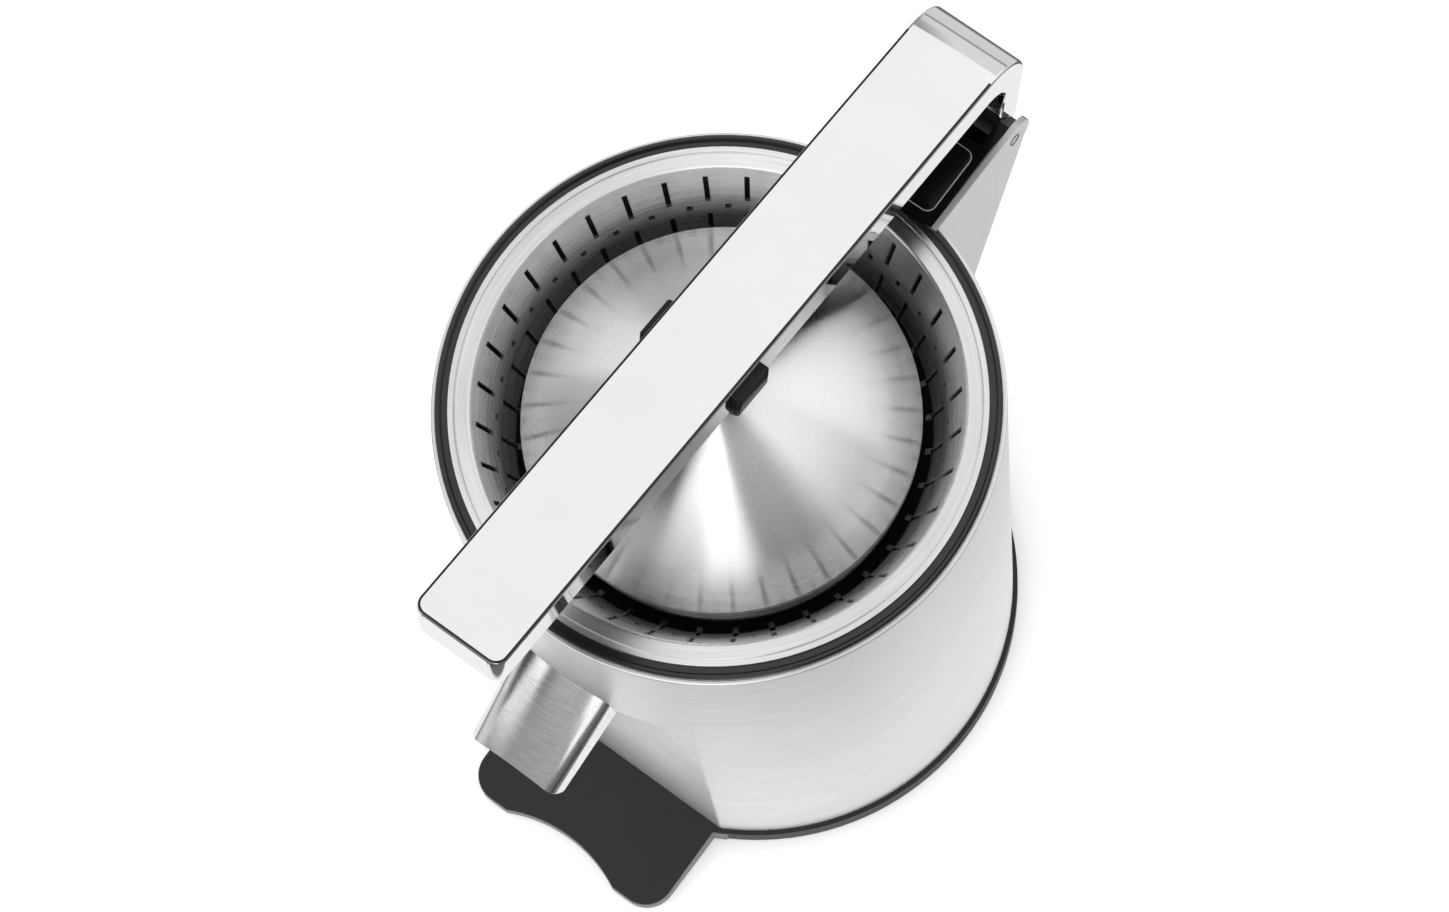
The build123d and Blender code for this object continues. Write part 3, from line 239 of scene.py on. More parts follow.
def roughen_by(tree, shader, mask, rough):
    """Run the roughness between its two values with the mask."""
    spread = {"From Min": MASK_LOW, "From Max": MASK_HIGH, "To Min": rough[0], "To Max": rough[1]}
    made = add(tree, "ShaderNodeMapRange", {"Value": mask}, spread)
    tree.links.new(made.outputs["Result"], shader.inputs["Roughness"])


def raise_by(tree, shader, mask, depth):
    """Raise the surface by the mask."""
    bump = add(tree, "ShaderNodeBump", {"Height": mask}, {"Distance": depth, "Strength": 1.0})
    tree.links.new(bump.outputs["Normal"], shader.inputs["Normal"])


def steel(name, grain, grain_values, shades, rough, drawn_out, axis, turn, depth):
    """Bare steel with a directional grain; axis and turn set the way highlights are drawn out."""
    made, tree, shader, place = new_material(
        name, Metallic=1.0, Anisotropic=drawn_out, Anisotropic_Rotation=turn,
    )
    lines = mask_of(tree, grain, place, **grain_values)
    clouds = mask_of(tree, handling, place, Scale=STEEL_CLOUDS)
    mixed = math_node(
        tree, "ADD", math_node(tree, "MULTIPLY", lines, GRAIN_SHARE),
        math_node(tree, "MULTIPLY", clouds, 1.0 - GRAIN_SHARE),
    )
    shade_by(tree, shader, mixed, grey(shades[0]), grey(shades[1]))
    roughen_by(tree, shader, mixed, rough)
    drawn = add(tree, "ShaderNodeTangent", direction_type="RADIAL", axis=axis)
    tree.links.new(drawn.outputs["Tangent"], shader.inputs["Tangent"])
    raise_by(tree, shader, lines, depth)
    return made


def polished(name, colour, rough):
    """Plated or polished metal with faint wiping marks."""
    made, tree, shader, place = new_material(name, Metallic=1.0)
    clouds = mask_of(tree, handling, place, Scale=POLISHED_CLOUDS)
    shade_by(tree, shader, clouds, tuple(WIPED * part for part in colour), colour)
    roughen_by(tree, shader, clouds, rough)
    return made


def moulded(name, dark, light, rough, pebbles, depth, **values):
    """Moulded plastic or rubber with a fine grain."""
    made, tree, shader, place = new_material(name, **values)
    grain = mask_of(tree, moulded_grain, place, Scale=pebbles)
    clouds = mask_of(tree, handling, place, Scale=MOULDED_CLOUDS)
    shade_by(tree, shader, clouds, dark, light)
    roughen_by(tree, shader, clouds, rough)
    raise_by(tree, shader, grain, depth)
    return made


STEELS = {
    "casing_steel": dict(
        grain=line_grain, grain_values={"Stretch": (24.0, 24.0, 1100.0)},
        shades=(0.66, 0.84), rough=(0.34, 0.42), drawn_out=0.7, axis="Z", turn=0.25, depth=3e-6,
    ),
    "strainer_steel": dict(
        grain=ring_grain, grain_values={"Fineness": 1000.0, "Sweep": 30.0},
        shades=(0.58, 0.82), rough=(0.25, 0.32), drawn_out=0.9, axis="Z", turn=0.25, depth=2e-6,
    ),
    "dome_steel": dict(
        grain=ring_grain, grain_values={"Fineness": 2200.0, "Sweep": 60.0},
        shades=(0.75, 0.81), rough=(0.26, 0.30), drawn_out=1.0, axis="Z", turn=0.25, depth=5e-8,
    ),
    "hood_steel": dict(
        grain=line_grain, grain_values={"Stretch": (90.0, 1600.0, 1600.0)},
        shades=(0.62, 0.84), rough=(0.11, 0.15), drawn_out=0.9, axis="X", turn=0.0, depth=4e-7,
    ),
    "tower_steel": dict(
        grain=line_grain, grain_values={"Stretch": (1400.0, 1400.0, 30.0)},
        shades=(0.42, 0.50), rough=(0.28, 0.36), drawn_out=0.5, axis="Z", turn=0.0, depth=2e-6,
    ),
}
POLISHED_METALS = {
    "trim_steel": dict(colour=grey(0.22), rough=(0.38, 0.48)),
    # Near-black metal for the painted reflection on the lever's edges and the painted shade round
    # the hinge pin's ends.
    "dark_line": dict(colour=grey(0.03), rough=(0.25, 0.35)),
    "chrome": dict(colour=grey(0.72), rough=(0.03, 0.06)),
    "zinc_steel": dict(colour=(0.60, 0.60, 0.62), rough=(0.25, 0.40)),
    "bronze": dict(colour=(0.36, 0.27, 0.16), rough=(0.35, 0.50)),
    "plate_aluminium": dict(colour=(0.74, 0.75, 0.76), rough=(0.35, 0.50)),
}
MOULDED_PARTS = {
    "satin_black": dict(
        dark=grey(0.013), light=grey(0.018), rough=(0.42, 0.52), pebbles=2200.0, depth=2e-5,
        Specular_IOR_Level=0.26,
    ),
    "gloss_black": dict(
        dark=grey(0.008), light=grey(0.012), rough=(0.16, 0.24), pebbles=900.0, depth=4e-6,
    ),
    "saddle_black": dict(
        dark=grey(0.006), light=grey(0.009), rough=(0.30, 0.40), pebbles=2200.0, depth=2e-5,
        Specular_IOR_Level=0.20,
    ),
    "deep_black": dict(
        dark=grey(0.003), light=grey(0.005), rough=(0.14, 0.20), pebbles=900.0, depth=4e-6,
        Specular_IOR_Level=0.12,
    ),
    "satin_grey": dict(
        dark=(0.28, 0.29, 0.30), light=(0.35, 0.36, 0.37), rough=(0.42, 0.52), pebbles=2200.0,
        depth=2e-5,
    ),
    "gear_white": dict(
        dark=(0.74, 0.72, 0.65), light=(0.84, 0.82, 0.76), rough=(0.36, 0.46), pebbles=1800.0,
        depth=1e-5,
    ),
    "rubber": dict(
        dark=grey(0.030), light=grey(0.045), rough=(0.70, 0.85), pebbles=1500.0, depth=4e-5,
    ),
}
finish = {}
for make, looks in ((steel, STEELS), (polished, POLISHED_METALS), (moulded, MOULDED_PARTS)):
    for name, look in looks.items():
        finish[name] = make(name, **look)

PIERCED_LOW = 173.2 * MM
PIERCED_HIGH = 200.0 * MM
UPWARD_FROM, UPWARD_TO = 0.42, 0.60
# Painted shade: the dark tone laid on the upward cut faces of the strainer's slots and holes.
CUT_FACE_SHADE = 0.06


def paint_shade_on_cut_faces(made):
    """Paint shade on the upward cut faces of the strainer's slots and holes, in place of the
    highlight they catch.
    """
    tree = made.node_tree
    shader = tree.nodes["Principled BSDF"]
    clean = shader.inputs["Base Color"].links[0].from_socket
    facing = split(tree, tree.nodes.new("ShaderNodeNewGeometry").outputs["Normal"])
    upward_face = add(
        tree, "ShaderNodeMapRange", {"Value": facing["Z"]},
        {"From Min": UPWARD_FROM, "From Max": UPWARD_TO},
    )
    place = split(tree, tree.nodes.new("ShaderNodeTexCoord").outputs["Object"])
    under = math_node(tree, "LESS_THAN", place["Z"], PIERCED_HIGH)
    over = math_node(tree, "GREATER_THAN", place["Z"], PIERCED_LOW)
    pierced = math_node(tree, "MULTIPLY", under, over)
    cut = math_node(tree, "MULTIPLY", upward_face.outputs["Result"], pierced)
    # Painted shade: the steel's own colour gives way to the dark tone on these faces.
    tree.links.new(colour_between(tree, cut, clean, tone(CUT_FACE_SHADE)), shader.inputs["Base Color"])


paint_shade_on_cut_faces(finish["strainer_steel"])

NODE_FINISHES = {
    "casing_steel": ["casing"],
    "strainer_steel": ["strainer"],
    "dome_steel": ["press_dome"],
    "hood_steel": ["spout_hood"],
    "tower_steel": ["tower_shell"],
    "chrome": ["arm_shell"],
    "zinc_steel": [
        "base_screws", "hinge_pin", "dome_pivot_pin", "dome_nut", "drive_shaft", "idler_axle",
        "motor_can", "motor_screws", "cover_screws", "return_spring",
    ],
    "bronze": ["hinge_bushes", "lower_bush", "upper_bush", "motor_pinion"],
    "plate_aluminium": ["gear_plate", "plate_posts", "spring_seat"],
    "satin_black": [
        "base_tray", "arm_liner", "dome_carrier", "spout_channel", "reamer", "cable_gland",
    ],
    "gloss_black": ["rim_collar"],
    "deep_black": ["tower_insert"],
    "satin_grey": ["juice_bowl", "dome_hub", "gear_cover", "start_switch"],
    "gear_white": ["output_gear", "idler_gear", "thrust_plate", "switch_button"],
    "rubber": ["shaft_seal", "base_pad"],
}
for look, names in NODE_FINISHES.items():
    for name in names:
        node[name].data.materials.clear()
        node[name].data.materials.append(finish[look])


# Shaping helpers

SHARP_FROM = math.radians(32.0)
MERGED_WITHIN = 0.001 * MM


def new_piece(name, shape, look, body):
    """The finished mesh as an object at the origin that rides on a body."""
    for face in shape.faces:
        face.smooth = True
    mesh = bpy.data.meshes.new(name)
    shape.to_mesh(mesh)
    shape.free()
    mesh.set_sharp_from_angle(angle=SHARP_FROM)
    mesh.materials.append(finish[look])
    made = bpy.data.objects.new(name, mesh)
    bpy.context.scene.collection.objects.link(made)
    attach(made, body)
    return made


def copy_of(name):
    """A merged copy of a node's mesh."""
    shape = bmesh.new()
    shape.from_mesh(node[name].data)
    bmesh.ops.remove_doubles(shape, verts=shape.verts, dist=MERGED_WITHIN)
    shape.normal_update()
    return shape


def keep_faces(shape, wanted):
    """Take away the faces that aren't wanted."""
    lost = [face for face in shape.faces if not wanted(face)]
    bmesh.ops.delete(shape, geom=lost, context="FACES")
    shape.normal_update()


def cut_off(shape, point, outward):
    """Take away what lies beyond a plane."""
    whole = shape.verts[:] + shape.edges[:] + shape.faces[:]
    bmesh.ops.bisect_plane(
        shape, geom=whole, plane_co=point, plane_no=outward, clear_outer=True,
    )


def thicken(shape, thickness):
    """Give a skin its second wall, so that it becomes a closed sheet."""
    shape.normal_update()
    ways = {vert: vert.normal.copy() for vert in shape.verts}
    grown = bmesh.ops.extrude_face_region(shape, geom=shape.faces[:], use_keep_orig=True)
    for item in grown["geom"]:
        if isinstance(item, bmesh.types.BMVert):
            nearest = min(ways, key=lambda vert: (vert.co - item.co).length_squared)
            item.co += thickness * ways[nearest]
    bmesh.ops.recalc_face_normals(shape, faces=shape.faces[:])


def round_edges(shape, edges, radius, segments):
    bmesh.ops.bevel(
        shape, geom=edges, offset=radius, segments=segments, profile=0.5, affect="EDGES",
        material=-1,
    )


def stand_up(shape, verts):
    """Turn a drawing in the XY plane upright, into the XZ plane."""
    upright = Matrix.Rotation(math.pi / 2, 3, "X")
    bmesh.ops.rotate(shape, verts=verts, cent=(0, 0, 0), matrix=upright)


def arch_drop(out, rise):
    """How far an elliptical arch has fallen at a share of its half width."""
    return rise * (1.0 - math.sqrt(max(0.0, 1.0 - out * out)))


# Tongue

TONGUE_ROOT_Y = -71.6 * MM
TONGUE_ROOT_TOP = 8.5 * MM
TONGUE_FALL = 4.0 / 34.6
TRIM_FOOT = 1.9 * MM
TRIM_FOOT_REACH = 0.2 * MM
TRIM_HEM = 0.4 * MM
TRIM_THICKNESS = 0.25 * MM


def make_tongue_trim():
    """Steel strip round the tongue's side, from just under its top edge nearly to the worktop."""

    def on_side(face):
        ahead = face.calc_center_median().y < TONGUE_ROOT_Y and face.normal.y < 0.5
        return ahead and abs(face.normal.z) < 0.1

    shape = copy_of("base_tray")
    keep_faces(shape, on_side)
    cut_off(shape, (0.0, TONGUE_ROOT_Y, TONGUE_ROOT_TOP), (0.0, -TONGUE_FALL, 1.0))
    cut_off(shape, (0.0, 0.0, TRIM_FOOT), (0.0, 0.0, -1.0))
    foot = min(vert.co.z for vert in shape.verts) + TRIM_FOOT_REACH
    for vert in shape.verts:
        if vert.co.z < foot:
            vert.co.z = TRIM_HEM
    thicken(shape, TRIM_THICKNESS)
    return new_piece("tongue_trim", shape, "trim_steel", "body")


# Spout

HOOD_ARC = 64
HOOD_WALL = 1.0 * MM
HOOD_CORNER = 3.6 * MM
HOOD_LEAN = 0.25
HOOD_RIM_ROUND = 0.2 * MM
HOOD_ROOT = {
    "reach": -78.3 * MM, "top": 155.7 * MM, "half_width": 16.4 * MM,
    "flat": 0.5 * MM, "rise": 8.5 * MM, "leg": 4.5 * MM,
}
HOOD_TIP = {
    "reach": -108.5 * MM, "top": 134.8 * MM, "half_width": 16.0 * MM,
    "flat": 0.5 * MM, "rise": 7.0 * MM, "leg": 0.3 * MM,
}


def draw_hood_section(shape, reach, top, half_width, flat, rise, leg):
    """Open upright section: a narrow flat crown, wide elliptical shoulders and short legs."""
    before = set(shape.verts)
    bmesh.ops.create_circle(shape, segments=HOOD_ARC, radius=1.0)
    fresh = [vert for vert in shape.verts if vert not in before]
    half_step = Matrix.Rotation(math.pi / HOOD_ARC, 3, "Z")
    bmesh.ops.rotate(shape, verts=fresh, cent=(0, 0, 0), matrix=half_step)
    edges = [edge for edge in shape.edges if edge.verts[0] not in before]
    bmesh.ops.bisect_plane(
        shape, geom=fresh + edges, plane_co=(0, 0, 0), plane_no=(0, -1, 0), clear_outer=True,
    )
    fresh = [vert for vert in shape.verts if vert not in before]
    bmesh.ops.scale(shape, verts=fresh, vec=(half_width - flat, rise, 1.0))
    for side in (1.0, -1.0):
        half = [vert for vert in fresh if side * vert.co.x > 0]
        bmesh.ops.translate(shape, verts=half, vec=(side * flat, 0.0, 0.0))
    ends = [vert for vert in fresh if len(vert.link_edges) == 1]
    feet = bmesh.ops.extrude_vert_indiv(shape, verts=ends)["verts"]
    for foot in feet:
        foot.co += Vector((math.copysign(HOOD_LEAN * leg, foot.co.x), -leg, 0.0))
    fresh += feet
    stand_up(shape, fresh)
    bmesh.ops.translate(shape, verts=fresh, vec=(0.0, reach, top - rise))
    return [edge for edge in shape.edges if edge.verts[0] not in before]


def make_spout_cover():
    """The spout's cover: an arched sheet that narrows and falls towards its open tip."""
    shape = bmesh.new()
    root = draw_hood_section(shape, **HOOD_ROOT)
    tip = [edge for edge in draw_hood_section(shape, **HOOD_TIP) if edge not in root]
    bmesh.ops.bridge_loops(shape, edges=root + tip)
    for vert in {vert for edge in tip for vert in edge.verts}:
        past = max(0.0, abs(vert.co.x) - HOOD_TIP["half_width"] + HOOD_CORNER) / HOOD_CORNER
        vert.co.y += arch_drop(past, HOOD_CORNER)
    bmesh.ops.recalc_face_normals(shape, faces=shape.faces[:])
    if max(shape.faces, key=lambda face: face.calc_center_median().z).normal.z < 0:
        bmesh.ops.reverse_faces(shape, faces=shape.faces[:])
    thicken(shape, -HOOD_WALL)
    rim_end = HOOD_TIP["reach"] + HOOD_CORNER + HOOD_WALL
    rim = [
        edge for edge in shape.edges
        if all(vert.co.y < rim_end for vert in edge.verts) and edge.calc_face_angle(0.0) > 1.0
    ]
    round_edges(shape, rim, HOOD_RIM_ROUND, 2)
    made = new_piece("spout_cover", shape, "hood_steel", "body")
    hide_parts("spout_hood")
    return made


PLATE_RADIUS = 80.96 * MM
PLATE_HALF_WIDTH = 17.6 * MM
PLATE_FOOT = 141.0 * MM
PLATE_TOP = 153.6 * MM
PLATE_TUCK = 0.5 * MM
PLATE_THICKNESS = 0.4 * MM


def make_spout_plate():
    """Sheet that closes the casing's opening above the spout cover's shoulders."""
    shape = bmesh.new()
    bmesh.ops.create_grid(shape, x_segments=72, y_segments=28, size=1.0)
    half_height = (PLATE_TOP - PLATE_FOOT) / 2
    bmesh.ops.scale(shape, verts=shape.verts, vec=(PLATE_HALF_WIDTH, half_height, 1.0))
    stand_up(shape, shape.verts)
    bmesh.ops.translate(shape, verts=shape.verts, vec=(0.0, 0.0, PLATE_FOOT + half_height))
    share = (PLATE_RADIUS + HOOD_ROOT["reach"]) / (HOOD_ROOT["reach"] - HOOD_TIP["reach"])
    here = {key: HOOD_ROOT[key] + share * (HOOD_TIP[key] - HOOD_ROOT[key]) for key in HOOD_ROOT}

    def is_free(face):
        centre = face.calc_center_median()
        out = max(0.0, abs(centre.x) - here["flat"]) / (here["half_width"] - here["flat"])
        return out >= 1.0 or centre.z >= here["top"] - arch_drop(out, here["rise"]) - PLATE_TUCK

    keep_faces(shape, is_free)
    for vert in shape.verts:
        vert.co.y = -math.sqrt(PLATE_RADIUS ** 2 - vert.co.x ** 2)
    bmesh.ops.recalc_face_normals(shape, faces=shape.faces[:])
    if shape.faces[0].normal.y > 0:
        bmesh.ops.reverse_faces(shape, faces=shape.faces[:])
    thicken(shape, -PLATE_THICKNESS)
    return new_piece("spout_plate", shape, "casing_steel", "body")


# Lever and saddle

HINGE_Y = 114.0 * MM
HINGE_Z = 196.0 * MM
LEVER_TILT = math.radians(10.37)
LEVER_FRAME = (
    Matrix.Translation((0.0, HINGE_Y, HINGE_Z)) @ Matrix.Rotation(-LEVER_TILT, 4, "X")
)
TO_LEVER = LEVER_FRAME.inverted()
ARM_TOP = 40.7 * MM
LEVER_BACK = 8.2 * MM
BEND_RADIUS = 18.5 * MM
OUTLINE_REACH = 0.1 * MM
EDGE_ROUND = 0.9 * MM
FLAT_WITHIN = math.radians(0.5)
# The painted dark reflection on the lever's rounded top edges: how far it runs, which facets carry
# it, and its thickness.
FLAT_AREA = 100.0 * MM * MM
REFLECTION_LINE_END = -16.0 * MM
REFLECTION_LINE_LEAN = (math.cos(math.radians(40.0)), math.cos(math.radians(4.0)))
REFLECTION_LINE_THICKNESS = 0.03 * MM


def on_lever_outline(vert):
    """Whether a corner lies on the lever's top or on the outside of its rear bend."""
    place = TO_LEVER @ vert.co
    past_bend = place.y - LEVER_BACK + BEND_RADIUS
    over_bend = place.z - ARM_TOP + BEND_RADIUS
    in_bend = min(past_bend, over_bend) > -OUTLINE_REACH
    on_bend = in_bend and math.hypot(past_bend, over_bend) > BEND_RADIUS - OUTLINE_REACH
    return on_bend or place.z > ARM_TOP - OUTLINE_REACH


def on_painted_reflection_edge(face):
    """Whether a face is part of the rounded edge that carries the painted dark reflection along
    the arm's top.
    """
    place = TO_LEVER @ face.calc_center_median()
    lean = (TO_LEVER.to_3x3() @ face.normal).z
    along_top = place.y < REFLECTION_LINE_END and place.z > ARM_TOP - EDGE_ROUND
    return along_top and REFLECTION_LINE_LEAN[0] < lean < REFLECTION_LINE_LEAN[1]


def make_lever_cover():
    """The chromed lever with its upper edges rounded, and a thin dark sheet along them as a
    painted reflection.
    """
    shape = copy_of("arm_shell")
    bmesh.ops.dissolve_limit(
        shape, angle_limit=FLAT_WITHIN, verts=shape.verts, edges=shape.edges,
    )
    outline = [
        edge for edge in shape.edges
        if edge.calc_face_angle(0.0) > 0.8 and all(on_lever_outline(vert) for vert in edge.verts)
    ]
    round_edges(shape, outline, EDGE_ROUND, 4)
    bmesh.ops.recalc_face_normals(shape, faces=shape.faces[:])
    # Painted reflection: a thin near-black skin over the rounded top edges.
    reflection_sheet = shape.copy()
    keep_faces(reflection_sheet, on_painted_reflection_edge)
    thicken(reflection_sheet, REFLECTION_LINE_THICKNESS)
    new_piece("arm_painted_reflection", reflection_sheet, "dark_line", "lever")
    made = new_piece("lever_cover", shape, "chrome", "lever")
    for polygon in made.data.polygons:
        polygon.use_smooth = polygon.area < FLAT_AREA
    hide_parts("arm_shell")
    return made


SADDLE_EAR_HEIGHT = 7.6 * MM
SADDLE_EAR_WALL = 4.0 * MM
SADDLE_PLATE = 3.5 * MM
SADDLE_PLATE_REACH = 0.05 * MM
SADDLE_EAR_THINNER = 0.62
SADDLE_SHORTER = 0.8


def make_saddle():
    """The black saddle round the lever, with slimmer and shorter ears than its solid."""
    shape = copy_of("dome_carrier")
    places = {vert: TO_LEVER @ vert.co for vert in shape.verts}
    ear_top = max(place.z for place in places.values())
    plate_foot = ear_top - SADDLE_EAR_HEIGHT - SADDLE_PLATE - SADDLE_PLATE_REACH
    inner = max(place.x for place in places.values()) - SADDLE_EAR_WALL
    along = [place.y for place in places.values() if place.z > plate_foot]
    middle = (min(along) + max(along)) / 2
    for vert, place in places.items():
        if place.z > plate_foot:
            place.y = middle + SADDLE_SHORTER * (place.y - middle)
            past = abs(place.x) - inner
            if past > 0.0:
                place.x = math.copysign(inner + SADDLE_EAR_THINNER * past, place.x)
            vert.co = LEVER_FRAME @ place
    made = new_piece("saddle", shape, "saddle_black", "lever")
    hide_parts("dome_carrier")
    return made


# Tower

CAP_HALF_WIDTH = 15.4 * MM
CAP_FRONT = 79.5 * MM
CAP_REAR = 101.0 * MM
CAP_FOOT = 204.6 * MM
CAP_TOP = 205.5 * MM
CAP_CORNER = 2.5 * MM
CAP_ROUND = 0.2 * MM
CAP_EDGE = 0.3 * MM
CAP_EDGE_ROUND = 0.1 * MM
CHEEK_FACE = 20.0 * MM
PIN_RING_RADIUS = 2.0 * MM
PIN_RING_WIRE = 0.16 * MM


def make_block(low, high, upright_radius, edge_radius):
    """A block between two corners, with its upright edges and then all its edges rounded."""
    shape = bmesh.new()
    bmesh.ops.create_cube(shape, size=1.0)
    low, high = Vector(low), Vector(high)
    bmesh.ops.scale(shape, verts=shape.verts, vec=high - low)
    bmesh.ops.translate(shape, verts=shape.verts, vec=(low + high) / 2)
    half_height = (high.z - low.z) / 2
    upright = [
        edge for edge in shape.edges
        if abs(edge.verts[0].co.z - edge.verts[1].co.z) > half_height
    ]
    round_edges(shape, upright, upright_radius, 5)
    sharp = [edge for edge in shape.edges if edge.calc_face_angle(0.0) > 1.0]
    round_edges(shape, sharp, edge_radius, 3)
    return shape


def make_insert_cap():
    """Raised black panel on top of the tower's insert."""
    shape = make_block(
        (-CAP_HALF_WIDTH, CAP_FRONT, CAP_FOOT), (CAP_HALF_WIDTH, CAP_REAR, CAP_TOP),
        CAP_CORNER, CAP_ROUND,
    )
    return new_piece("insert_cap", shape, "deep_black", "body")


def make_cap_highlight():
    """Lighter edge round the raised panel: a painted highlight along the panel's rim."""
    shape = make_block(
        (-CAP_HALF_WIDTH - CAP_EDGE, CAP_FRONT - CAP_EDGE, CAP_FOOT),
        (CAP_HALF_WIDTH + CAP_EDGE, CAP_REAR + CAP_EDGE, CAP_TOP - CAP_EDGE),
        CAP_CORNER + CAP_EDGE, CAP_EDGE_ROUND,
    )
    return new_piece("cap_painted_highlight", shape, "satin_grey", "body")


def make_pin_shade_ring(name, side):
    """Thin dark ring round the hinge pin's end on one cheek, as painted shade of a groove there.
    """
    shape = bmesh.new()
    wire = bmesh.ops.create_circle(shape, segments=12, radius=PIN_RING_WIRE)["verts"]
    bmesh.ops.translate(shape, verts=wire, vec=(0.0, PIN_RING_RADIUS, 0.0))
    bmesh.ops.spin(
        shape, geom=shape.verts[:] + shape.edges[:], cent=(0, 0, 0), axis=(1, 0, 0),
        angle=2 * math.pi, steps=48, use_merge=True,
    )
    centre = (side * CHEEK_FACE, HINGE_Y, HINGE_Z)
    bmesh.ops.translate(shape, verts=shape.verts, vec=centre)
    bmesh.ops.recalc_face_normals(shape, faces=shape.faces[:])
    return new_piece(name, shape, "dark_line", "body")


# Return spring


def make_spring_coil():
    """The return spring's wire, a copy of the CAD spring's mesh."""
    shape = copy_of("return_spring")
    made = new_piece("spring_coil", shape, "zinc_steel", "body")
    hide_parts("return_spring")
    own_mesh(made)
    return made


make_tongue_trim()
make_spout_cover()
make_spout_plate()
make_lever_cover()
make_insert_cap()
# Painted highlight: a lighter grey band round the raised black panel.
make_cap_highlight()
# Painted shade: dark rings round both ends of the hinge pin.
make_pin_shade_ring("pin_shade_ring_right", 1.0)
make_pin_shade_ring("pin_shade_ring_left", -1.0)
make_spring_coil()
make_saddle()


# Floor: pale to the eye, with darker rings and a darker front right in what the steel mirrors

FLOOR_HALF_SIZE = 6.0
FLOOR_CENTRE_Y = -0.07
FLOOR_RINGS = (
    (0.0, 0.86), (0.27, 0.86), (0.31, 0.12), (0.42, 0.12), (0.52, 0.60), (1.0, 0.60),
)
FLOOR_SIDE_SLANT = 0.8
FLOOR_SIDE = {"From Min": 0.26, "From Max": 0.30, "To Min": 1.0, "To Max": 0.15}
FLOOR_SEEN = 0.95


def make_floor():
    shape = bmesh.new()
    bmesh.ops.create_grid(shape, x_segments=1, y_segments=1, size=FLOOR_HALF_SIZE)
    mesh = bpy.data.meshes.new("floor")
    shape.to_mesh(mesh)
    shape.free()
    floor = bpy.data.objects.new("floor", mesh)
    bpy.context.scene.collection.objects.link(floor)
    pale, tree, shader, place = new_material("pale_floor", Roughness=0.9, Emission_Strength=0.2)
    parts = split(tree, place)
    behind = math_node(tree, "ADD", parts["Y"], -FLOOR_CENTRE_Y)
    flat = add(tree, "ShaderNodeCombineXYZ", {"X": parts["X"], "Y": behind})
    rings = level_ramp(tree, length_of(tree, flat.outputs["Vector"]), FLOOR_RINGS)
    slanted = math_node(tree, "MULTIPLY", parts["Y"], FLOOR_SIDE_SLANT)
    ahead_right = math_node(tree, "SUBTRACT", parts["X"], slanted)
    side = add(tree, "ShaderNodeMapRange", {"Value": ahead_right}, FLOOR_SIDE)
    mirrored = add(
        tree, "ShaderNodeVectorMath", {0: rings, "Scale": side.outputs["Result"]},
        operation="SCALE",
    )
    straight_on = tree.nodes.new("ShaderNodeLightPath").outputs["Is Camera Ray"]
    shade = colour_between(tree, straight_on, mirrored.outputs["Vector"], tone(FLOOR_SEEN))
    for label in ("Base Color", "Emission Color"):
        tree.links.new(shade, shader.inputs[label])
    mesh.materials.append(pale)


# Studio: levels of light round the press, as angles from the front towards the right in degrees

FOOT_PANELS = (
    (-180, 0.95), (-160, 0.90), (-150, 0.20), (-115, 0.20), (-102, 1.20), (-84, 1.20),
    (-76, 0.06), (-42, 0.06), (-37, 1.10), (-24, 0.80), (-16, 0.40), (26, 0.50), (31, 1.35),
    (50, 1.35), (55, 0.08), (96, 0.10), (122, 0.20), (130, 1.25), (160, 1.25), (180, 0.95),
)
LOW_PANELS = (
    (-180, 0.95), (-165, 0.95), (-155, 0.45), (-125, 0.45), (-105, 1.20), (-80, 1.30),
    (-66, 0.30), (-47, 0.30), (-42, 1.40), (-27, 1.40), (-22, 0.22), (-17, 0.22), (-13, 0.42),
    (22, 0.52), (29, 1.55), (46, 1.55), (51, 0.35), (80, 0.40), (95, 1.35), (150, 1.35),
    (180, 0.95),
)
HIGH_PANELS = (
    (-180, 1.26), (-128, 1.16), (-120, 0.65), (-100, 0.75), (-60, 1.20), (-45, 2.30),
    (43, 2.30), (48, 0.45), (80, 0.55), (100, 1.30), (150, 1.25), (180, 1.26),
)
LOW_FROM, LOW_TO = 15.0, 20.0
HIGH_FROM, HIGH_TO = 32.5, 35.5
CEILING_FROM, CEILING_TO = 66.0, 78.0
EDGE_FROM, EDGE_TO = 1.0, 5.0
CEILING = 1.15
DIM_EDGE = 0.40
BACKDROP_SEEN = 1.0


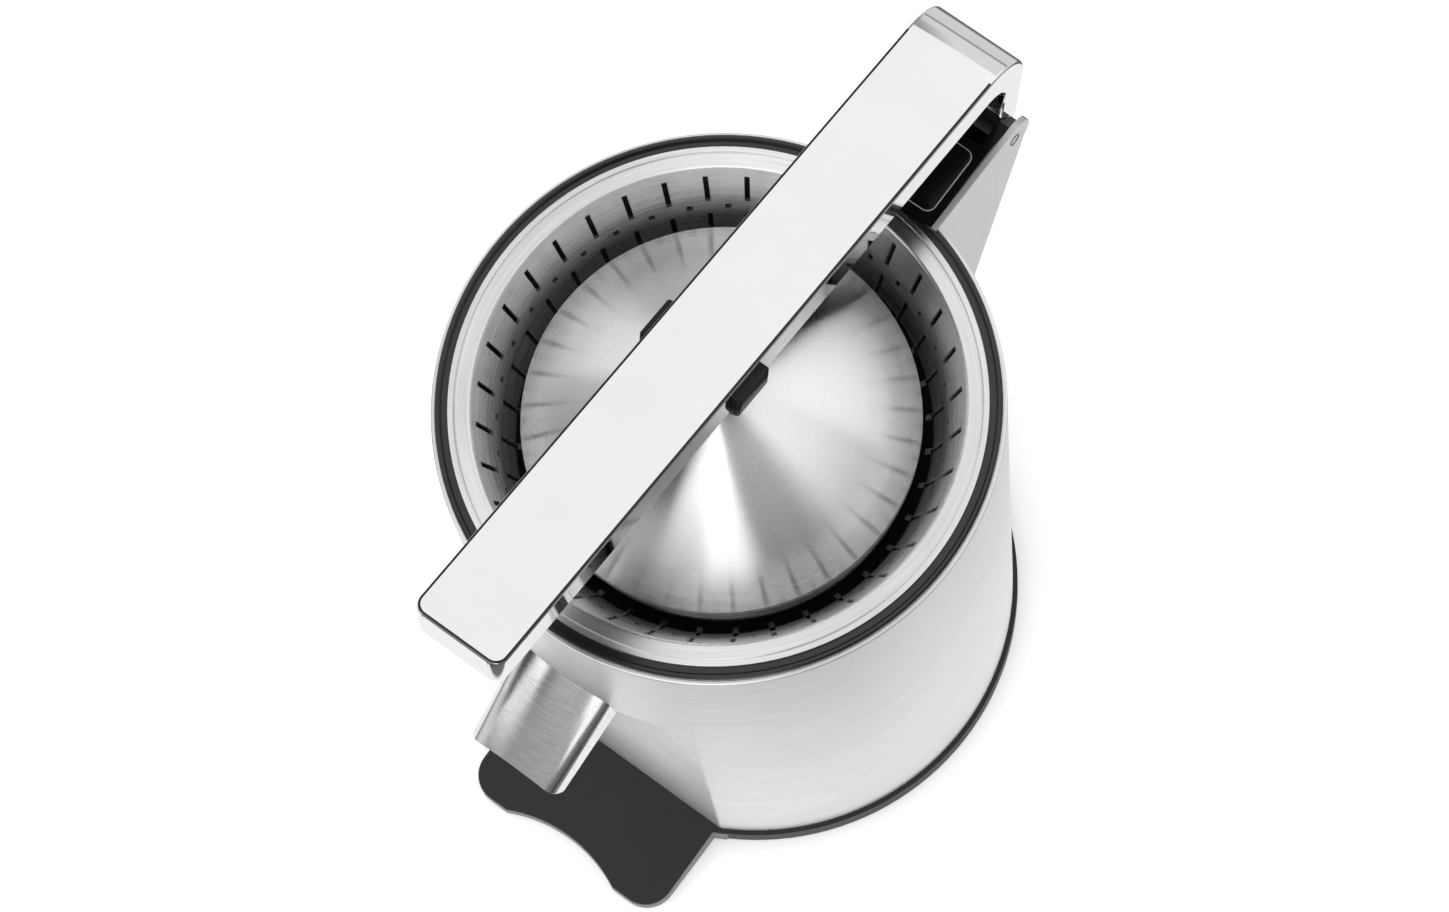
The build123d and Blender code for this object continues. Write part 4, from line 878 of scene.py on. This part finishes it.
def make_studio():
    studio = bpy.data.worlds.new("studio")
    bpy.context.scene.world = studio
    studio.use_nodes = True
    sky = studio.node_tree
    backdrop = sky.nodes["Background"]
    ray = split(sky, sky.nodes.new("ShaderNodeTexCoord").outputs["Generated"])
    ahead = math_node(sky, "MULTIPLY", ray["Y"], -1.0)
    turn = math_node(sky, "ARCTAN2", ray["X"], ahead)
    around = math_node(sky, "ADD", math_node(sky, "DIVIDE", turn, 2 * math.pi), 0.5)

    def panels(levels):
        return level_ramp(sky, around, [(angle / 360.0 + 0.5, level) for angle, level in levels])

    def rising(start, end):
        """A share that goes from 0 to 1 between two elevations in degrees."""
        span = {"From Min": math.sin(math.radians(start)), "From Max": math.sin(math.radians(end))}
        made = add(
            sky, "ShaderNodeMapRange", {"Value": ray["Z"]}, span, interpolation_type="SMOOTHSTEP",
        )
        return made.outputs["Result"]

    foot, low, high = panels(FOOT_PANELS), panels(LOW_PANELS), panels(HIGH_PANELS)
    lower_walls = colour_between(sky, rising(LOW_FROM, LOW_TO), foot, low)
    walls = colour_between(sky, rising(HIGH_FROM, HIGH_TO), lower_walls, high)
    room = colour_between(sky, rising(CEILING_FROM, CEILING_TO), walls, tone(CEILING))
    mirrored = colour_between(sky, rising(EDGE_FROM, EDGE_TO), tone(DIM_EDGE), room)
    straight_on = sky.nodes.new("ShaderNodeLightPath").outputs["Is Camera Ray"]
    shade = colour_between(sky, straight_on, mirrored, tone(BACKDROP_SEEN))
    sky.links.new(shade, backdrop.inputs["Color"])
    backdrop.inputs["Strength"].default_value = 1.0
    bpy.context.scene.view_settings.view_transform = "Standard"


# Camera at the photograph's view

PHOTO_WIDTH = 1449.0
FOCAL_PIXELS = 4743.0
VIEW_AZIMUTH = math.radians(49.45)
VIEW_ELEVATION = math.radians(73.23)
VIEW_ROLL = math.radians(-13.18)
VIEW_DISTANCE = 1.427
AIM_HEIGHT = 0.100
AIM_RIGHT = -0.0015
AIM_UP = 0.0152
SENSOR_WIDTH = 36.0


def make_camera():
    towards = Vector((
        math.sin(VIEW_AZIMUTH) * math.cos(VIEW_ELEVATION),
        -math.cos(VIEW_AZIMUTH) * math.cos(VIEW_ELEVATION),
        math.sin(VIEW_ELEVATION),
    ))
    level_right = Vector((math.cos(VIEW_AZIMUTH), math.sin(VIEW_AZIMUTH), 0.0))
    level_up = towards.cross(level_right)
    aim = Vector((0.0, 0.0, AIM_HEIGHT)) + AIM_RIGHT * level_right + AIM_UP * level_up
    right = math.cos(VIEW_ROLL) * level_right + math.sin(VIEW_ROLL) * level_up
    upward = math.cos(VIEW_ROLL) * level_up - math.sin(VIEW_ROLL) * level_right
    lens = bpy.data.cameras.new("camera")
    lens.sensor_width = SENSOR_WIDTH
    lens.lens = FOCAL_PIXELS / PHOTO_WIDTH * SENSOR_WIDTH
    lens.clip_start = 0.01
    lens.clip_end = 50.0
    camera = bpy.data.objects.new("camera", lens)
    bpy.context.scene.collection.objects.link(camera)
    facing = Matrix((right, upward, towards)).transposed().to_4x4()
    camera.matrix_world = Matrix.Translation(aim + VIEW_DISTANCE * towards) @ facing
    bpy.context.scene.camera = camera


make_floor()
make_studio()
make_camera()
